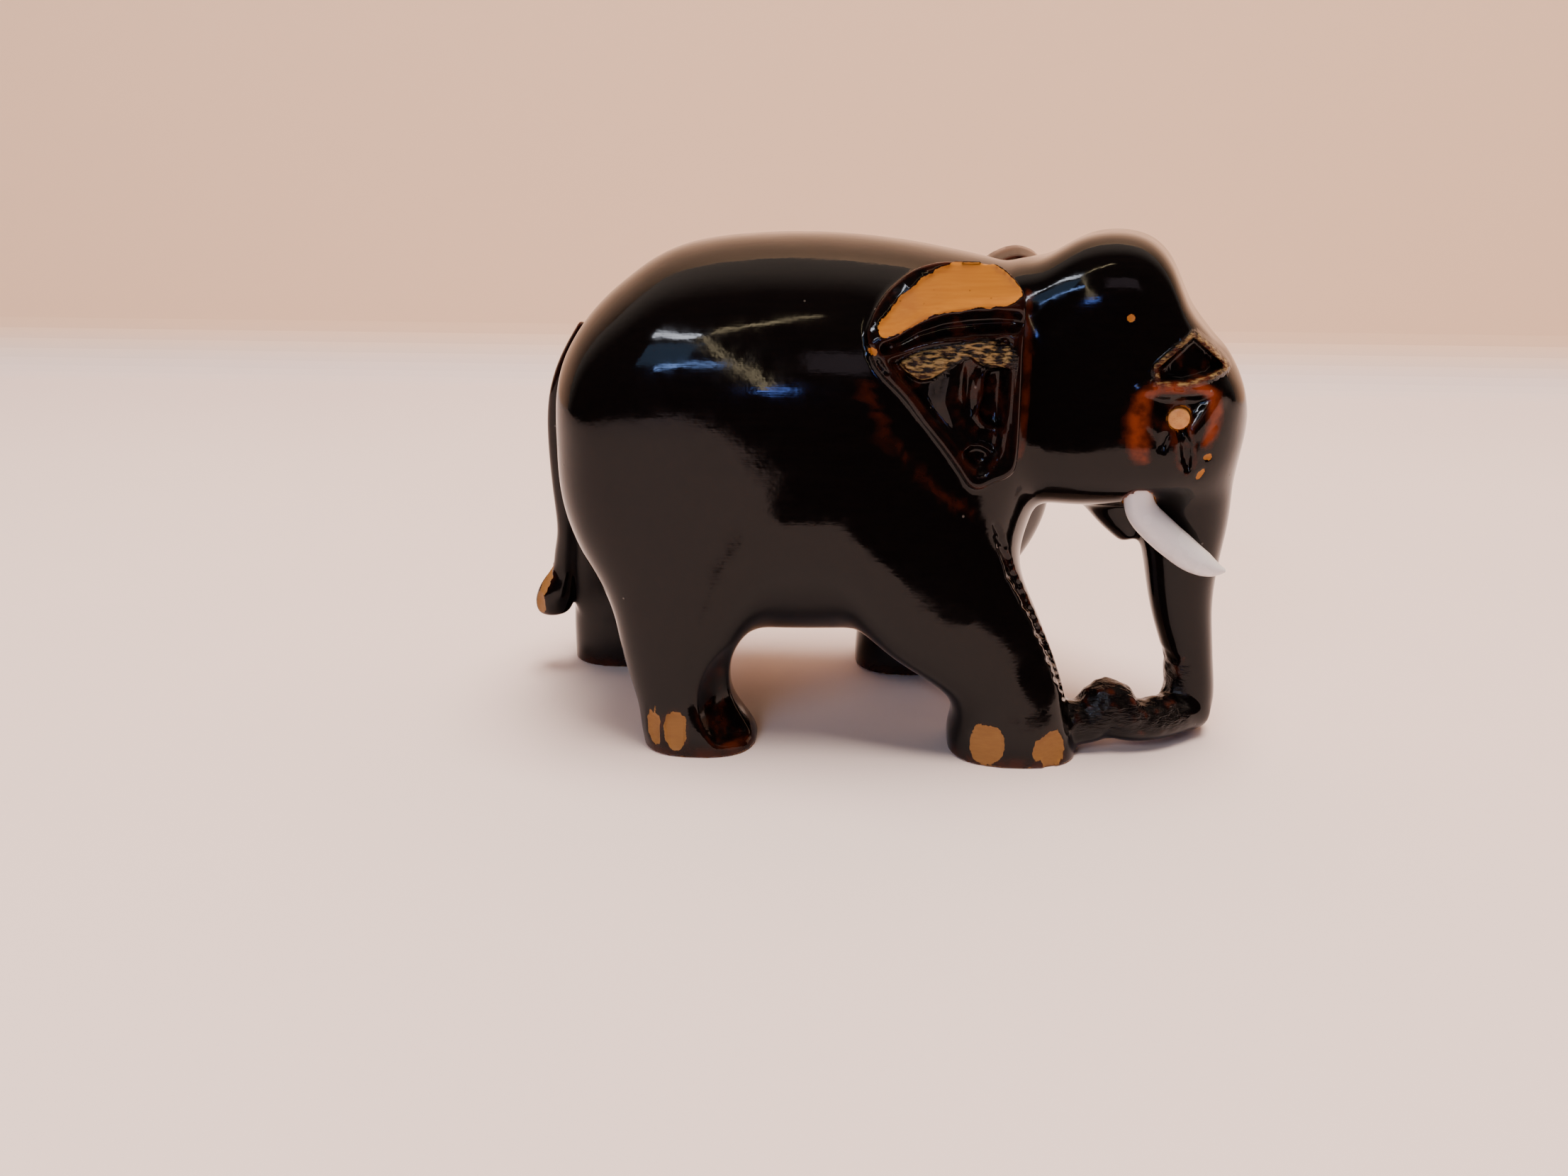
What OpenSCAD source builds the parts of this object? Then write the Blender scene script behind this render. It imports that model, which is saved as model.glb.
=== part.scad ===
// Carved wooden elephant, walking, with its head turned to its right.
// The body is carved from one block: torso, head, ears, trunk, legs, tail and the rough
// bridge of wood that ties the trunk tip to the right forefoot. Two tusks and two eye pegs
// are made apart and glued into holes drilled in the head.
// Units are millimetres. +X is towards the head, +Y is the elephant's left, +Z is up, and
// the soles stand on Z = 0.

/* [Torso] */
// Length of the torso, from the rump to the chest
torso_l = 66; // [60:1:70]
// Height of the back above the ground
back_h = 66; // [62:0.5:68]
// Height of the belly above the ground
belly_h = 13; // [11:0.5:16]
// Width across the flanks
torso_w = 41; // [36:0.5:46]

/* [Legs] */
// Length of a foot, heel to toe
foot_l = 17; // [14:0.5:19]
// Width of a foot
foot_w = 14; // [11:0.5:15]
// Width across the outer edges of the feet
stance_w = 43; // [40:0.5:46]
// How far the left forefoot stands behind the right one
fore_stride = 13; // [8:0.5:16]
// How far the left hind foot stands behind the right one
hind_stride = 15; // [8:0.5:17]

/* [Head] */
// Turn of the head to the elephant's right, in degrees
head_turn = 14; // [0:1:18]
// Height of the dome of the head above the ground
head_h = 66.7; // [64:0.1:70]
// Height of the jaw above the ground
jaw_h = 32.3; // [30:0.1:35]
// Length of the head, from the nape to the forehead
head_l = 31; // [28:0.5:34]
// Width across the cheeks
head_w = 27; // [24:0.5:30]

/* [Ears] */
// Length of an ear along the head
ear_l = 18.5; // [16:0.5:20]
// Height of an ear
ear_h = 27; // [24:0.5:29]
// Width across the outer faces of the ears
ear_span = 41; // [40:0.5:44]
// Depth of the knife cut that bares the upper rim of an ear
ear_rim_cut = 3.4; // [2:0.1:4]

/* [Trunk and tail] */
// Depth of the trunk, front to back, halfway down
trunk_d = 8.6; // [7:0.1:10]
// Width of the trunk halfway down
trunk_w = 9.4; // [7.5:0.1:11]
// Height of the bridge between the trunk tip and the forefoot
bridge_h = 6.2; // [4.5:0.1:7.5]
// Thickness of the tail
tail_d = 2.8; // [2.4:0.1:3.4]

/* [Tusks] */
// Length of a tusk that shows outside the head
tusk_l = 15.5; // [12:0.5:18]
// Thickness of a tusk where it is fullest
tusk_d = 4.3; // [3.6:0.1:5]
// Width between the inner sides of the tusks at their roots
tusk_space = 11.7; // [10:0.1:12.5]
// Diameter of the tenon that is glued into the head
tenon_d = 2.6; // [2:0.1:3]
// Length of the tenon
tenon_l = 4; // [3:0.5:5]

/* [Eyes] */
// Diameter of an eye peg
eye_d = 2.9; // [2.4:0.1:3.4]
// Length of an eye peg
eye_peg_l = 4; // [3:0.5:6]

/* [Fits and fineness] */
// Glue gap round a tenon or a peg
glue_gap = 0.05; // [0.03:0.01:0.1]
// Steps between two stations of a carved shape
fineness = 2; // [2:1:3]

/* [Hidden] */

RIGHT = -1;
LEFT = 1;
WOOD = [0.07, 0.05, 0.05];
IVORY_WHITE = [0.86, 0.85, 0.86];
PALE_WOOD = [0.72, 0.47, 0.25];

// The model is moved by this much so that its box is centred over the origin
box_shift = [0.75, 0, 0];

rump_x = -43.4;          // rear of the torso
fore_x = 19.1;           // middle of the right forefoot
hind_x = -23.4;          // middle of the right hind foot
leg_gap = stance_w / 2 - foot_w; // inner edge of a foot from the middle
neck = [15, 0, 0];       // the head turns about the upright line through here
nape = 16;               // rear of the head, before it is turned
forehead = nape + head_l;
boxy = 2.7;              // roundness of the torso: 2 is an ellipse, more is squarer
domed = 2.2;             // roundness of the top of the head
jowled = 3.4;            // roundness of the cheeks and jaw

// ---- Curves and skins -------------------------------------------------------------

// A point a share t of the way from b to c, on a smooth curve through a, b, c and d
function between(a, b, c, d, t) =
    0.5 * (2 * b + (c - a) * t + (2 * a - 5 * b + 4 * c - d) * t * t
           + (3 * b - a - 3 * c + d) * t * t * t);

// A smooth run of stations through the given ones, with n steps from each to the next
function smooth(list, n) =
    let (last = len(list) - 1)
    concat([for (i = [0 : last - 1], k = [0 : n - 1])
                between(list[max(i - 1, 0)], list[i], list[i + 1], list[min(i + 2, last)], k / n)],
           [list[last]]);

// The same for a closed outline
function smooth_loop(list, n) =
    let (c = len(list))
    [for (i = [0 : c - 1], k = [0 : n - 1])
        between(list[(i + c - 1) % c], list[i], list[(i + 1) % c], list[(i + 2) % c], k / n)];

function rounded(v, power) = sign(v) * pow(abs(v), 2 / power);

// A round outline of n points; power 2 gives an ellipse and more gives a squarer one, and
// the first half of the outline may be squarer than the second
function ring_2d(n, power, first_power = 0) =
    [for (i = [0 : n - 1])
        let (a = 360 * (i + 0.5) / n, here = first_power > 0 && a < 180 ? first_power : power)
        [rounded(cos(a), here), rounded(sin(a), here)]];

// A closed skin over rings of equal size, with a flat cap on the first and the last
module skin(rings) {
    n = len(rings[0]);
    last = len(rings) - 1;
    sides = [for (r = [0 : last - 1], i = [0 : n - 1])
        let (j = (i + 1) % n, a = r * n, b = a + n)
        each [[a + i, a + j, b + j], [a + i, b + j, b + i]]];
    rear_cap = [for (i = [n - 1 : -1 : 0]) i];
    front_cap = [for (i = [0 : n - 1]) last * n + i];
    polyhedron(points = [for (ring = rings) each ring],
               faces = concat(sides, [rear_cap], [front_cap]),
               convexity = 6);
}

// Skin over upright rings across X; a station is [x, bottom, top, half width]
module skin_along_x(stations, n, power, low_power) {
    outline = ring_2d(n, power, low_power);
    skin([for (s = smooth(stations, fineness))
        [for (p = outline) [s[0], p[0] * s[3], (s[1] + s[2]) / 2 - p[1] * (s[2] - s[1]) / 2]]]);
}

// Skin over level rings; a station is [height, rear, front, low y, high y]
module skin_along_z(stations, n, power) {
    outline = ring_2d(n, power);
    skin([for (s = smooth(stations, fineness))
        let (mid_x = (s[1] + s[2]) / 2, half_x = (s[2] - s[1]) / 2,
             mid_y = (s[3] + s[4]) / 2, half_y = (s[4] - s[3]) / 2)
        [for (p = outline) [mid_x + p[0] * half_x, mid_y - p[1] * half_y, s[0]]]]);
}

// Skin along a path; a station is [x, y, z, half width, half depth]
module skin_along_path(stations, n) {
    path = smooth(stations, fineness);
    last = len(path) - 1;
    outline = ring_2d(n, 2);
    skin([for (i = [0 : last])
        let (here = [for (k = [0 : 2]) path[i][k]],
             run = [for (k = [0 : 2]) path[min(i + 1, last)][k] - path[max(i - 1, 0)][k]],
             ahead = run / norm(run),
             side = cross([0, 0, 1], ahead) / norm(cross([0, 0, 1], ahead)),
             rise = cross(ahead, side))
        [for (p = outline) here + side * p[0] * path[i][3] - rise * p[1] * path[i][4]]]);
}

// ---- The turned head ----------------------------------------------------------------

module turned() {
    translate(neck) rotate([0, 0, -head_turn]) translate(-neck) children();
}

function turn_point(p) =
    [neck[0] + (p[0] - neck[0]) * cos(head_turn) + p[1] * sin(head_turn),
     p[1] * cos(head_turn) - (p[0] - neck[0]) * sin(head_turn),
     p[2]];

// Head stations are [share of the length, height, height, half width share]: the lower
// and upper lines of the side view, then the width
head_stations = [for (s = [
        [0.00, 0.45, 0.75, 0.45], [0.07, 0.12, 0.885, 0.90], [0.17, 0.03, 0.91, 1.02],
        [0.30, 0.00, 0.975, 1.03], [0.44, 0.00, 1.000, 1.00], [0.57, 0.01, 0.975, 0.95],
        [0.67, 0.03, 0.890, 0.90], [0.75, 0.05, 0.755, 0.86], [0.84, 0.08, 0.655, 0.77],
        [0.92, 0.12, 0.560, 0.62], [0.97, 0.20, 0.460, 0.42], [1.00, 0.30, 0.360, 0.06]])
    let (rise = head_h - jaw_h)
    [nape + s[0] * head_l, jaw_h + s[1] * rise, jaw_h + s[2] * rise, s[3] * head_w / 2]];

// Half the width of the head at one of its stations and a height
function cheek(station, z) =
    let (mid = (station[1] + station[2]) / 2, reach = (station[2] - station[1]) / 2)
    station[3] * pow(1 - pow(abs(z - mid) / reach, jowled), 1 / jowled);

// ---- The carved block ---------------------------------------------------------------

module torso() {
    rise = back_h - belly_h;
    // Shares of the length, of the rise (bottom and top), and of half the width
    skin_along_x([for (s = [
        [0.000, 0.50, 0.54, 0.03], [0.018, 0.33, 0.68, 0.50], [0.050, 0.22, 0.76, 0.72],
        [0.095, 0.13, 0.830, 0.85], [0.160, 0.06, 0.900, 0.93], [0.250, 0.02, 0.965, 0.98],
        [0.385, 0.00, 0.995, 1.00], [0.535, 0.00, 1.000, 1.00], [0.690, 0.01, 0.985, 0.98],
        [0.810, 0.05, 0.960, 0.93], [0.900, 0.14, 0.935, 0.82], [0.960, 0.27, 0.890, 0.62],
        [1.000, 0.50, 0.650, 0.12]])
        let (x = rump_x + s[0] * torso_l)
        [x, belly_h + s[1] * rise, belly_h + s[2] * rise, s[3] * torso_w / 2]],
        32, boxy, boxy);
}

// A leg; a station is [height, rear and front from the middle of the foot, share of the
// foot's width cut from its inner side, inset of its outer side]
module leg(side, foot_x, stations) {
    half = foot_l / 17; // foot outlines are drawn for a 17 mm foot
    skin_along_z([for (s = stations)
        let (inner = leg_gap + s[3] * foot_w, outer = stance_w / 2 - s[4],
             rear = foot_x + s[1] * half, front = foot_x + s[2] * half)
        side > 0 ? [s[0], rear, front, inner, outer] : [s[0], rear, front, -outer, -inner]],
        22, 2.6);
}

module right_fore_leg() {
    leg(RIGHT, fore_x, [
        [0, -8.7, 8.5, 0, 0], [2.5, -8.8, 8.1, 0, 0], [5, -8.4, 7.3, 0.01, 0.3],
        [7.5, -9.2, 6.5, 0.02, 0.7], [10, -12, 5.7, 0.01, 0.9], [14, -18, 4.1, -0.03, 1.0],
        [19, -22, 1.9, -0.1, 1.0], [25, -24, -1.1, -0.25, 1.2], [32, -24, -4.6, -0.3, 2.0],
        [40, -22, -7.1, -0.35, 4.0], [46, -19, -10, -0.2, 7.5]]);
}

module right_hind_leg() {
    leg(RIGHT, hind_x, [
        [0, -7.6, 8.0, 0, 0], [2, -7.9, 7.1, 0, 0], [5, -8.2, 5.1, 0.02, 0.4],
        [8, -8.9, 4.2, 0.03, 0.9], [12, -9.9, 4.6, 0.03, 1.0], [17, -10.9, 6.9, -0.04, 0.9],
        [23, -12.6, 9.4, -0.2, 1.0], [30, -15.1, 10.4, -0.3, 1.5], [38, -15.6, 8.4, -0.35, 3.0],
        [44, -12.6, 4.4, -0.2, 6.5]]);
}

module left_fore_leg() {
    leg(LEFT, fore_x - fore_stride, [
        [0, -8.3, 8.2, 0, 0], [3, -8.3, 8.0, 0, 0], [7, -7.8, 8.6, 0.02, 0.5], [12, -6.5, 11.0, 0.02, 0.8],
        [18, -6.0, 14.6, 0, 0.9], [24, -7.0, 16.6, -0.15, 1.2], [30, -8, 17, -0.3, 1.9], [37, -7, 14, -0.35, 4.0],
        [43, -4, 8, -0.2, 8.0]]);
}

module left_hind_leg() {
    leg(LEFT, hind_x - hind_stride, [
        [0, -8.0, 8.0, 0, 0], [3, -8.0, 7.0, 0, 0], [7, -7.8, 6.0, 0.02, 0.5], [12, -7.1, 7.5, 0.02, 0.8],
        [18, -6.0, 11.5, 0, 0.9], [25, -4.3, 16.5, -0.15, 1.2], [32, -2.5, 19.5, -0.3, 1.9], [40, 0.5, 18.5, -0.35, 4.0],
        [45, 4.5, 16.5, -0.2, 7.5]]);
}

// Trunk stations are [height, rear, front] from the middle line of the forehead, and half
// the width, as shares of the trunk's depth and width
module trunk() {
    mid = forehead - 0.55 * trunk_d;
    turned() skin_along_z([for (s = [
        [0.5, 0.15, 0.48, 0.22], [2, -0.02, 0.65, 0.37], [5, -0.08, 0.72, 0.41],
        [9.6, -0.12, 0.66, 0.42], [14.6, -0.31, 0.57, 0.45], [19.5, -0.49, 0.51, 0.50],
        [25, -0.64, 0.53, 0.57], [30, -0.80, 0.57, 0.66], [35, -0.92, 0.56, 0.77],
        [41, -0.98, 0.54, 0.86], [47, -0.85, 0.48, 0.80], [52, -0.50, 0.15, 0.50]])
        let (half = s[3] * trunk_w)
        [s[0], mid + s[1] * trunk_d, mid + s[2] * trunk_d, -half, half]], 20, 2.2);
}

// The rough bridge runs along the ground from the trunk tip back to the right forefoot
module bridge() {
    tip = turn_point([forehead - 1.8, 0, 0]);
    toe = [fore_x + 0.4 * foot_l, -stance_w / 2 + 0.5 * foot_w, 0];
    function spot(share, sag, lift, half) =
        let (here = tip + share * (toe - tip))
        [here[0], here[1] - sag, 0.6 + half + lift, 0.52 * bridge_h, half];
    skin_along_path([spot(0.00, 0.4, 0.2, 0.34 * bridge_h), spot(0.12, 1.4, 0, 0.44 * bridge_h),
                     spot(0.34, 2.4, 0, 0.46 * bridge_h), spot(0.54, 2.0, 0.2, 0.52 * bridge_h),
                     spot(0.68, 1.2, 0.4, 0.68 * bridge_h), spot(0.82, 0.6, 0, 0.52 * bridge_h),
                     spot(1.00, 0.0, 0, 0.50 * bridge_h)], 12);
}

module lower_lip() {
    turned() skin_along_path([
        [nape + 0.40 * head_l, 0, jaw_h + 4.4, 5.0, 3.6],
        [nape + 0.50 * head_l, 0, jaw_h + 0.6, 4.4, 3.4],
        [nape + 0.57 * head_l, 0, jaw_h - 2.8, 3.5, 2.6],
        [nape + 0.61 * head_l, 0, jaw_h - 5.4, 2.0, 1.3]], 12);
}

// The tail hangs against the rump and ends in a tuft on the back of the left hind leg
module tail() {
    heel = hind_x - hind_stride - 0.47 * foot_l;
    r = tail_d / 2;
    skin_along_path([
        [rump_x + 3.5, 0, back_h - 12, 0.6 * r, 0.6 * r], [rump_x + 0.9, 0.3, back_h - 17, 0.9 * r, 0.9 * r],
        [rump_x - 1.0, 0.8, back_h - 22.5, r, r], [rump_x - 1.6, 1.6, back_h - 29, r, r],
        [rump_x - 1.7, 3.0, back_h - 37, r, r], [rump_x - 1.5, 4.8, back_h - 43.5, 1.1 * r, r],
        [heel + 0.8, 6.6, back_h - 47.5, 1.8 * r, 1.7 * r], [heel - 0.6, 7.4, back_h - 51, 2.1 * r, 2.1 * r],
        [heel - 0.2, 7.8, back_h - 54.8, 1.7 * r, 1.8 * r]], 12);
}

// Ear outline as shares of its length, back from the front edge, and of its height, down
ear_outline = [[0.00, 0.13], [0.14, 0.025], [0.34, 0.00], [0.58, 0.01], [0.82, 0.09], [0.96, 0.22],
               [0.97, 0.37], [0.80, 0.56], [0.60, 0.74], [0.42, 0.90], [0.27, 0.99], [0.12, 0.965],
               [0.00, 0.88], [-0.01, 0.50]];

// An ear lies flat along the flank; its place follows the turned head
module ear(side) {
    root = turn_point([nape + 0.17 * head_l, side * ear_span / 2, 0]);
    top = head_h - 2.9;
    face = side * ear_span / 2;
    loop = smooth_loop(ear_outline, fineness);
    centre = [0.45, 0.45];
    // Rings across Y: [distance in from the outer face, share of the full outline]
    layers = [[8.5, 0.87], [3, 0.98], [1, 1.0], [0, 0.95]];
    order = side > 0 ? layers : [for (i = [3 : -1 : 0]) layers[i]];
    difference() {
        skin([for (layer = order)
            [for (p = loop)
                let (q = centre + (p - centre) * layer[1])
                [root[0] - q[0] * ear_l, face - side * layer[0], top - q[1] * ear_h]]]);
        // The knife cut along the upper rim
        translate([root[0] - 0.45 * ear_l, face, top])
            rotate([-side * 40, 0, 0])
                translate([-ear_l, -ear_l, -ear_rim_cut * 0.62]) cube([2 * ear_l, 2 * ear_l, ear_l]);
        // The hollow of the ear, under the rim
        translate([root[0] - 0.42 * ear_l, face + side * 2.4, top - 0.50 * ear_h])
            scale([0.30 * ear_l, 3.6, 0.24 * ear_h]) sphere(r = 1, $fn = 16);
    }
}

module carved_block() {
    torso();
    right_fore_leg();
    right_hind_leg();
    left_fore_leg();
    left_hind_leg();
    turned() skin_along_x(head_stations, 28, domed, jowled);
    lower_lip();
    trunk();
    bridge();
    tail();
    ear(RIGHT);
    ear(LEFT);
}

// ---- Tusks and eyes -------------------------------------------------------------------

// A thicker tusk stands further out, so that it stays clear of the trunk
tusk_root = [nape + 0.635 * head_l, (tusk_space + tusk_d) / 2, jaw_h + 2.5];
tusk_lean = 14;     // at its root a tusk points this far forward of straight down
tusk_curl = 78;     // and it turns up by this much on the way to its point
bend_r = tusk_l / (tusk_curl * PI / 180);
root_d = 0.86 * tusk_d;
seat = 0.8;         // the root sits this deep in its spot face
// Shares of the way to the point and of the full thickness; the first lies inside the root
tusk_fullness = [[-0.03, 0.76], [0.03, 0.83], [0.13, 0.95], [0.30, 1.0], [0.50, 0.92],
                 [0.70, 0.70], [0.86, 0.42], [0.96, 0.18], [1, 0.06]];

// Puts a child, drawn with its tenon up +Z and its root face at Z = 0, at a tusk's root
module at_tusk(side) {
    turned() translate([tusk_root[0], side * tusk_root[1], tusk_root[2]])
        rotate([0, -tusk_lean, 0]) children();
}

// Below its root face the tusk bends forward along a round arc
module tusk(side) {
    color(IVORY_WHITE) at_tusk(side) {
        cylinder(h = tenon_l, d = tenon_d, $fn = 48);
        translate([0, 0, -seat]) cylinder(h = seat, d = root_d, $fn = 48);
        skin([for (s = smooth(tusk_fullness, 3))
            let (a = tusk_curl * s[0], r = s[1] * tusk_d / 2)
            [for (p = ring_2d(20, 2))
                let (across = p[0] * r)
                [bend_r * (1 - cos(a)) + across * cos(a), p[1] * r,
                 across * sin(a) - bend_r * sin(a) - seat]]]);
    }
}

module tusk_socket(side) {
    at_tusk(side) {
        cylinder(h = tenon_l + glue_gap, d = tenon_d + 2 * glue_gap, $fn = 48);
        translate([0, 0, -tusk_d]) cylinder(h = tusk_d, d = root_d + 4 * glue_gap, $fn = 48);
    }
}

eye_x = nape + 0.75 * head_l;
eye_z = jaw_h + 0.385 * (head_h - jaw_h);
// The eye's flat face lies in a spot face cut just below the cheek's skin
eye_face = cheek(head_stations[7], eye_z) - 0.3;

// Puts a child, drawn with its outer face at Z = 0 facing +Z, at an eye
module at_eye(side) {
    turned() translate([eye_x, side * eye_face, eye_z]) rotate([-side * 90, 0, 0]) children();
}

module eye(side) {
    color(PALE_WOOD) at_eye(side) translate([0, 0, -eye_peg_l]) cylinder(h = eye_peg_l, d = eye_d, $fn = 48);
}

module eye_socket(side) {
    at_eye(side) {
        translate([0, 0, -eye_peg_l]) cylinder(h = eye_peg_l + 1, d = eye_d + 2 * glue_gap, $fn = 48);
        cylinder(h = 3, d = 1.8 * eye_d, $fn = 48);
    }
}

// The block is resized to its own length, which leaves its size as it is and joins it
// into one mesh before the round sockets are drilled
module carved_body() {
    color(WOOD) translate(box_shift) difference() {
        resize([0, 0, 0]) carved_block();
        for (side = [RIGHT, LEFT]) {
            tusk_socket(side);
            eye_socket(side);
        }
    }
}

module tusk_right() { translate(box_shift) tusk(RIGHT); }
module tusk_left() { translate(box_shift) tusk(LEFT); }
module eye_right() { translate(box_shift) eye(RIGHT); }
module eye_left() { translate(box_shift) eye(LEFT); }

carved_body();
tusk_right();
tusk_left();
eye_right();
eye_left();
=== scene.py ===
import math

import bpy
import numpy as np
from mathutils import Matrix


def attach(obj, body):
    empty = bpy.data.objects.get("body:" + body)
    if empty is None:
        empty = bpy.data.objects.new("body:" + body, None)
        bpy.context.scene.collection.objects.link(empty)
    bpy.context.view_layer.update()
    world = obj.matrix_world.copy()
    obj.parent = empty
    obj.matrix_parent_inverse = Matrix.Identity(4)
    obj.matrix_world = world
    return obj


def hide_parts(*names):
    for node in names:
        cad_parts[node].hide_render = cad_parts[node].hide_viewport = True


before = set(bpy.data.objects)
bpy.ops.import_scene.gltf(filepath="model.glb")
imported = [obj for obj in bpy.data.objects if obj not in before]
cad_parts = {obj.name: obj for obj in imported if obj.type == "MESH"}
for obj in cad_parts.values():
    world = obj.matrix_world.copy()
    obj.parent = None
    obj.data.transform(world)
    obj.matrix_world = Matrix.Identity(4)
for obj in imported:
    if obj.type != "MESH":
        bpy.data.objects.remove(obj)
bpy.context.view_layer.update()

import openvdb
from mathutils import Matrix, Vector

# A carved and lacquered wooden elephant. The block is shaped in millimetres as a field of
# distances to its surface: rough shapes are lofted through the part's own stations, melted
# together as a carver rounds a joint, and then cut with the knife. The middle of the part's
# box is off the carver's zero by SHIFT_X.
SHIFT_X = 0.75
TORSO_L, BACK_H, BELLY_H, TORSO_W = 66.0, 66.0, 13.0, 41.0
FOOT_L, FOOT_W, STANCE_W = 17.0, 14.0, 43.0
HEAD_TURN, HEAD_H, JAW_H, HEAD_L, HEAD_W = 14.0, 66.7, 32.3, 31.0, 27.0
EAR_L, EAR_H, EAR_SPAN = 18.5, 27.0, 41.0
TRUNK_D, TRUNK_W, BRIDGE_H, TAIL_D = 8.6, 9.4, 6.2, 2.8
TUSK_D, TUSK_SPACE, TENON_D, TENON_L = 4.3, 11.7, 2.6, 4.0
EYE_PEG_L, GLUE_GAP = 4.0, 0.05
RUMP_X, FORE_X, HIND_X, NECK_X, NAPE = -43.4, 19.1, -23.4, 15.0, 16.0
LEFT_FORE_X = FORE_X - 13.0
LEFT_HIND_X = HIND_X - 15.0
FOREHEAD = NAPE + HEAD_L
RIGHT, LEFT = -1, 1


# ---- Camera ------------------------------------------------------------------------------------

def make_camera():
    """A wide lens close to the right side, looking a little down."""
    turn, dip, lean = math.radians(3.5), math.radians(19.7), math.radians(0.26)
    ahead = Vector((-math.sin(turn) * math.cos(dip), math.cos(turn) * math.cos(dip), -math.sin(dip)))
    right = Vector((math.cos(turn), math.sin(turn), 0))
    up = right.cross(ahead)
    c, s = math.cos(lean), math.sin(lean)
    axes = Matrix((right * c + up * s, up * c - right * s, -ahead)).transposed().to_4x4()
    lens = bpy.data.cameras.new("camera")
    lens.sensor_width = 36
    lens.lens = 26.69
    lens.clip_start = 0.005
    lens.clip_end = 20
    holder = bpy.data.objects.new("camera", lens)
    holder.matrix_world = Matrix.Translation((-0.00237, -0.15830, 0.0734)) @ axes
    bpy.context.scene.collection.objects.link(holder)
    bpy.context.scene.camera = holder


make_camera()

# ---- The carver's field of distances -------------------------------------------------------

VOXEL = 0.32  # mm between two samples of the field
BAND = 14     # samples on each side of a surface that hold a true distance
CORNER = np.floor(np.array([-53.0, -24.0, -1.3]) / VOXEL).astype(int)
COUNT = np.ceil(np.array([104.0, 48.0, 70.0]) / VOXEL).astype(int)
AXES = [(CORNER[i] + np.arange(COUNT[i])) * VOXEL for i in range(3)]
TRANSFORM = openvdb.createLinearTransform(voxelSize=VOXEL)
FAR = BAND * VOXEL
MOST_TRIANGLES = 190000  # in the carved block's mesh


def smooth_curve(stations, step):
    """Stations on a natural cubic curve through the given ones, about one step apart."""
    s = np.array(stations, float)
    t = np.concatenate([[0], np.cumsum(np.linalg.norm(np.diff(s, axis=0), axis=1) ** 0.5)])
    n, h = len(t), np.diff(t)
    a, b = np.eye(n), np.zeros_like(s)
    for i in range(1, n - 1):
        a[i, i - 1:i + 2] = h[i - 1], 2 * (h[i - 1] + h[i]), h[i]
        b[i] = 6 * ((s[i + 1] - s[i]) / h[i] - (s[i] - s[i - 1]) / h[i - 1])
    m = np.linalg.solve(a, b)
    out = []
    for i in range(n - 1):
        parts = max(2, math.ceil(np.linalg.norm(s[i + 1] - s[i]) / step))
        for u in np.arange(parts) / parts * h[i]:
            v = h[i] - u
            out.append((m[i] * v ** 3 + m[i + 1] * u ** 3) / (6 * h[i])
                       + (s[i] / h[i] - m[i] * h[i] / 6) * v + (s[i + 1] / h[i] - m[i + 1] * h[i] / 6) * u)
    return np.array(out + [s[-1]])


def smooth_outline(points, parts):
    """The closed outline through the points, rounded, with so many parts from each to the next."""
    p = np.array(points, float)
    out = []
    for i in range(len(p)):
        a, b, c, d = p[i - 1], p[i], p[(i + 1) % len(p)], p[(i + 2) % len(p)]
        for t in np.arange(parts) / parts:
            out.append(0.5 * (2 * b + (c - a) * t + (2 * a - 5 * b + 4 * c - d) * t ** 2
                              + (3 * b - a - 3 * c + d) * t ** 3))
    return np.array(out)


def oval(n, power, low_power=None):
    """A round outline; the lower half may be squarer than the upper one."""
    a = 2 * np.pi * (np.arange(n) + 0.5) / n
    p = np.where(a < np.pi, low_power or power, power)
    return np.stack([np.sign(np.cos(a)) * np.abs(np.cos(a)) ** (2 / p),
                     np.sign(np.sin(a)) * np.abs(np.sin(a)) ** (2 / p)], axis=1)


def skin(rings):
    """Points and triangles of a closed skin over rings of equal size, capped at both ends."""
    r, n = rings.shape[:2]
    ids = np.arange(r * n).reshape(r, n)
    a, b = ids[:-1], np.roll(ids, -1, axis=1)[:-1]
    c, d = np.roll(ids, -1, axis=1)[1:], ids[1:]
    sides = np.stack([a, b, c, a, c, d], axis=-1).reshape(-1, 3)
    first, last = np.roll(ids[0], -1), np.roll(ids[-1], -1)
    caps = [np.stack([first, ids[0], np.full(n, r * n)], axis=1),
            np.stack([ids[-1], last, np.full(n, r * n + 1)], axis=1)]
    points = np.concatenate([rings.reshape(-1, 3), rings[0].mean(0)[None], rings[-1].mean(0)[None]])
    return points, np.concatenate([sides] + caps)


def skin_along_x(stations, power, low_power=None):
    """A station is (x, bottom, top, half width)."""
    s = smooth_curve(stations, 0.5)
    o = oval(180, power, low_power)
    x = np.repeat(s[:, :1], len(o), axis=1)
    y = s[:, 3:4] * o[None, :, 0]
    z = (s[:, 1:2] + s[:, 2:3]) / 2 - (s[:, 2:3] - s[:, 1:2]) / 2 * o[None, :, 1]
    return skin(np.stack([x, y, z], axis=-1))


def skin_along_z(stations, power):
    """A station is (height, rear, front, low y, high y)."""
    s = smooth_curve(stations, 0.5)
    o = oval(120, power)
    x = (s[:, 1:2] + s[:, 2:3]) / 2 + (s[:, 2:3] - s[:, 1:2]) / 2 * o[None, :, 0]
    y = (s[:, 3:4] + s[:, 4:5]) / 2 + (s[:, 4:5] - s[:, 3:4]) / 2 * o[None, :, 1]
    z = np.repeat(s[:, :1], len(o), axis=1)
    return skin(np.stack([x, y, z], axis=-1))


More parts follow.
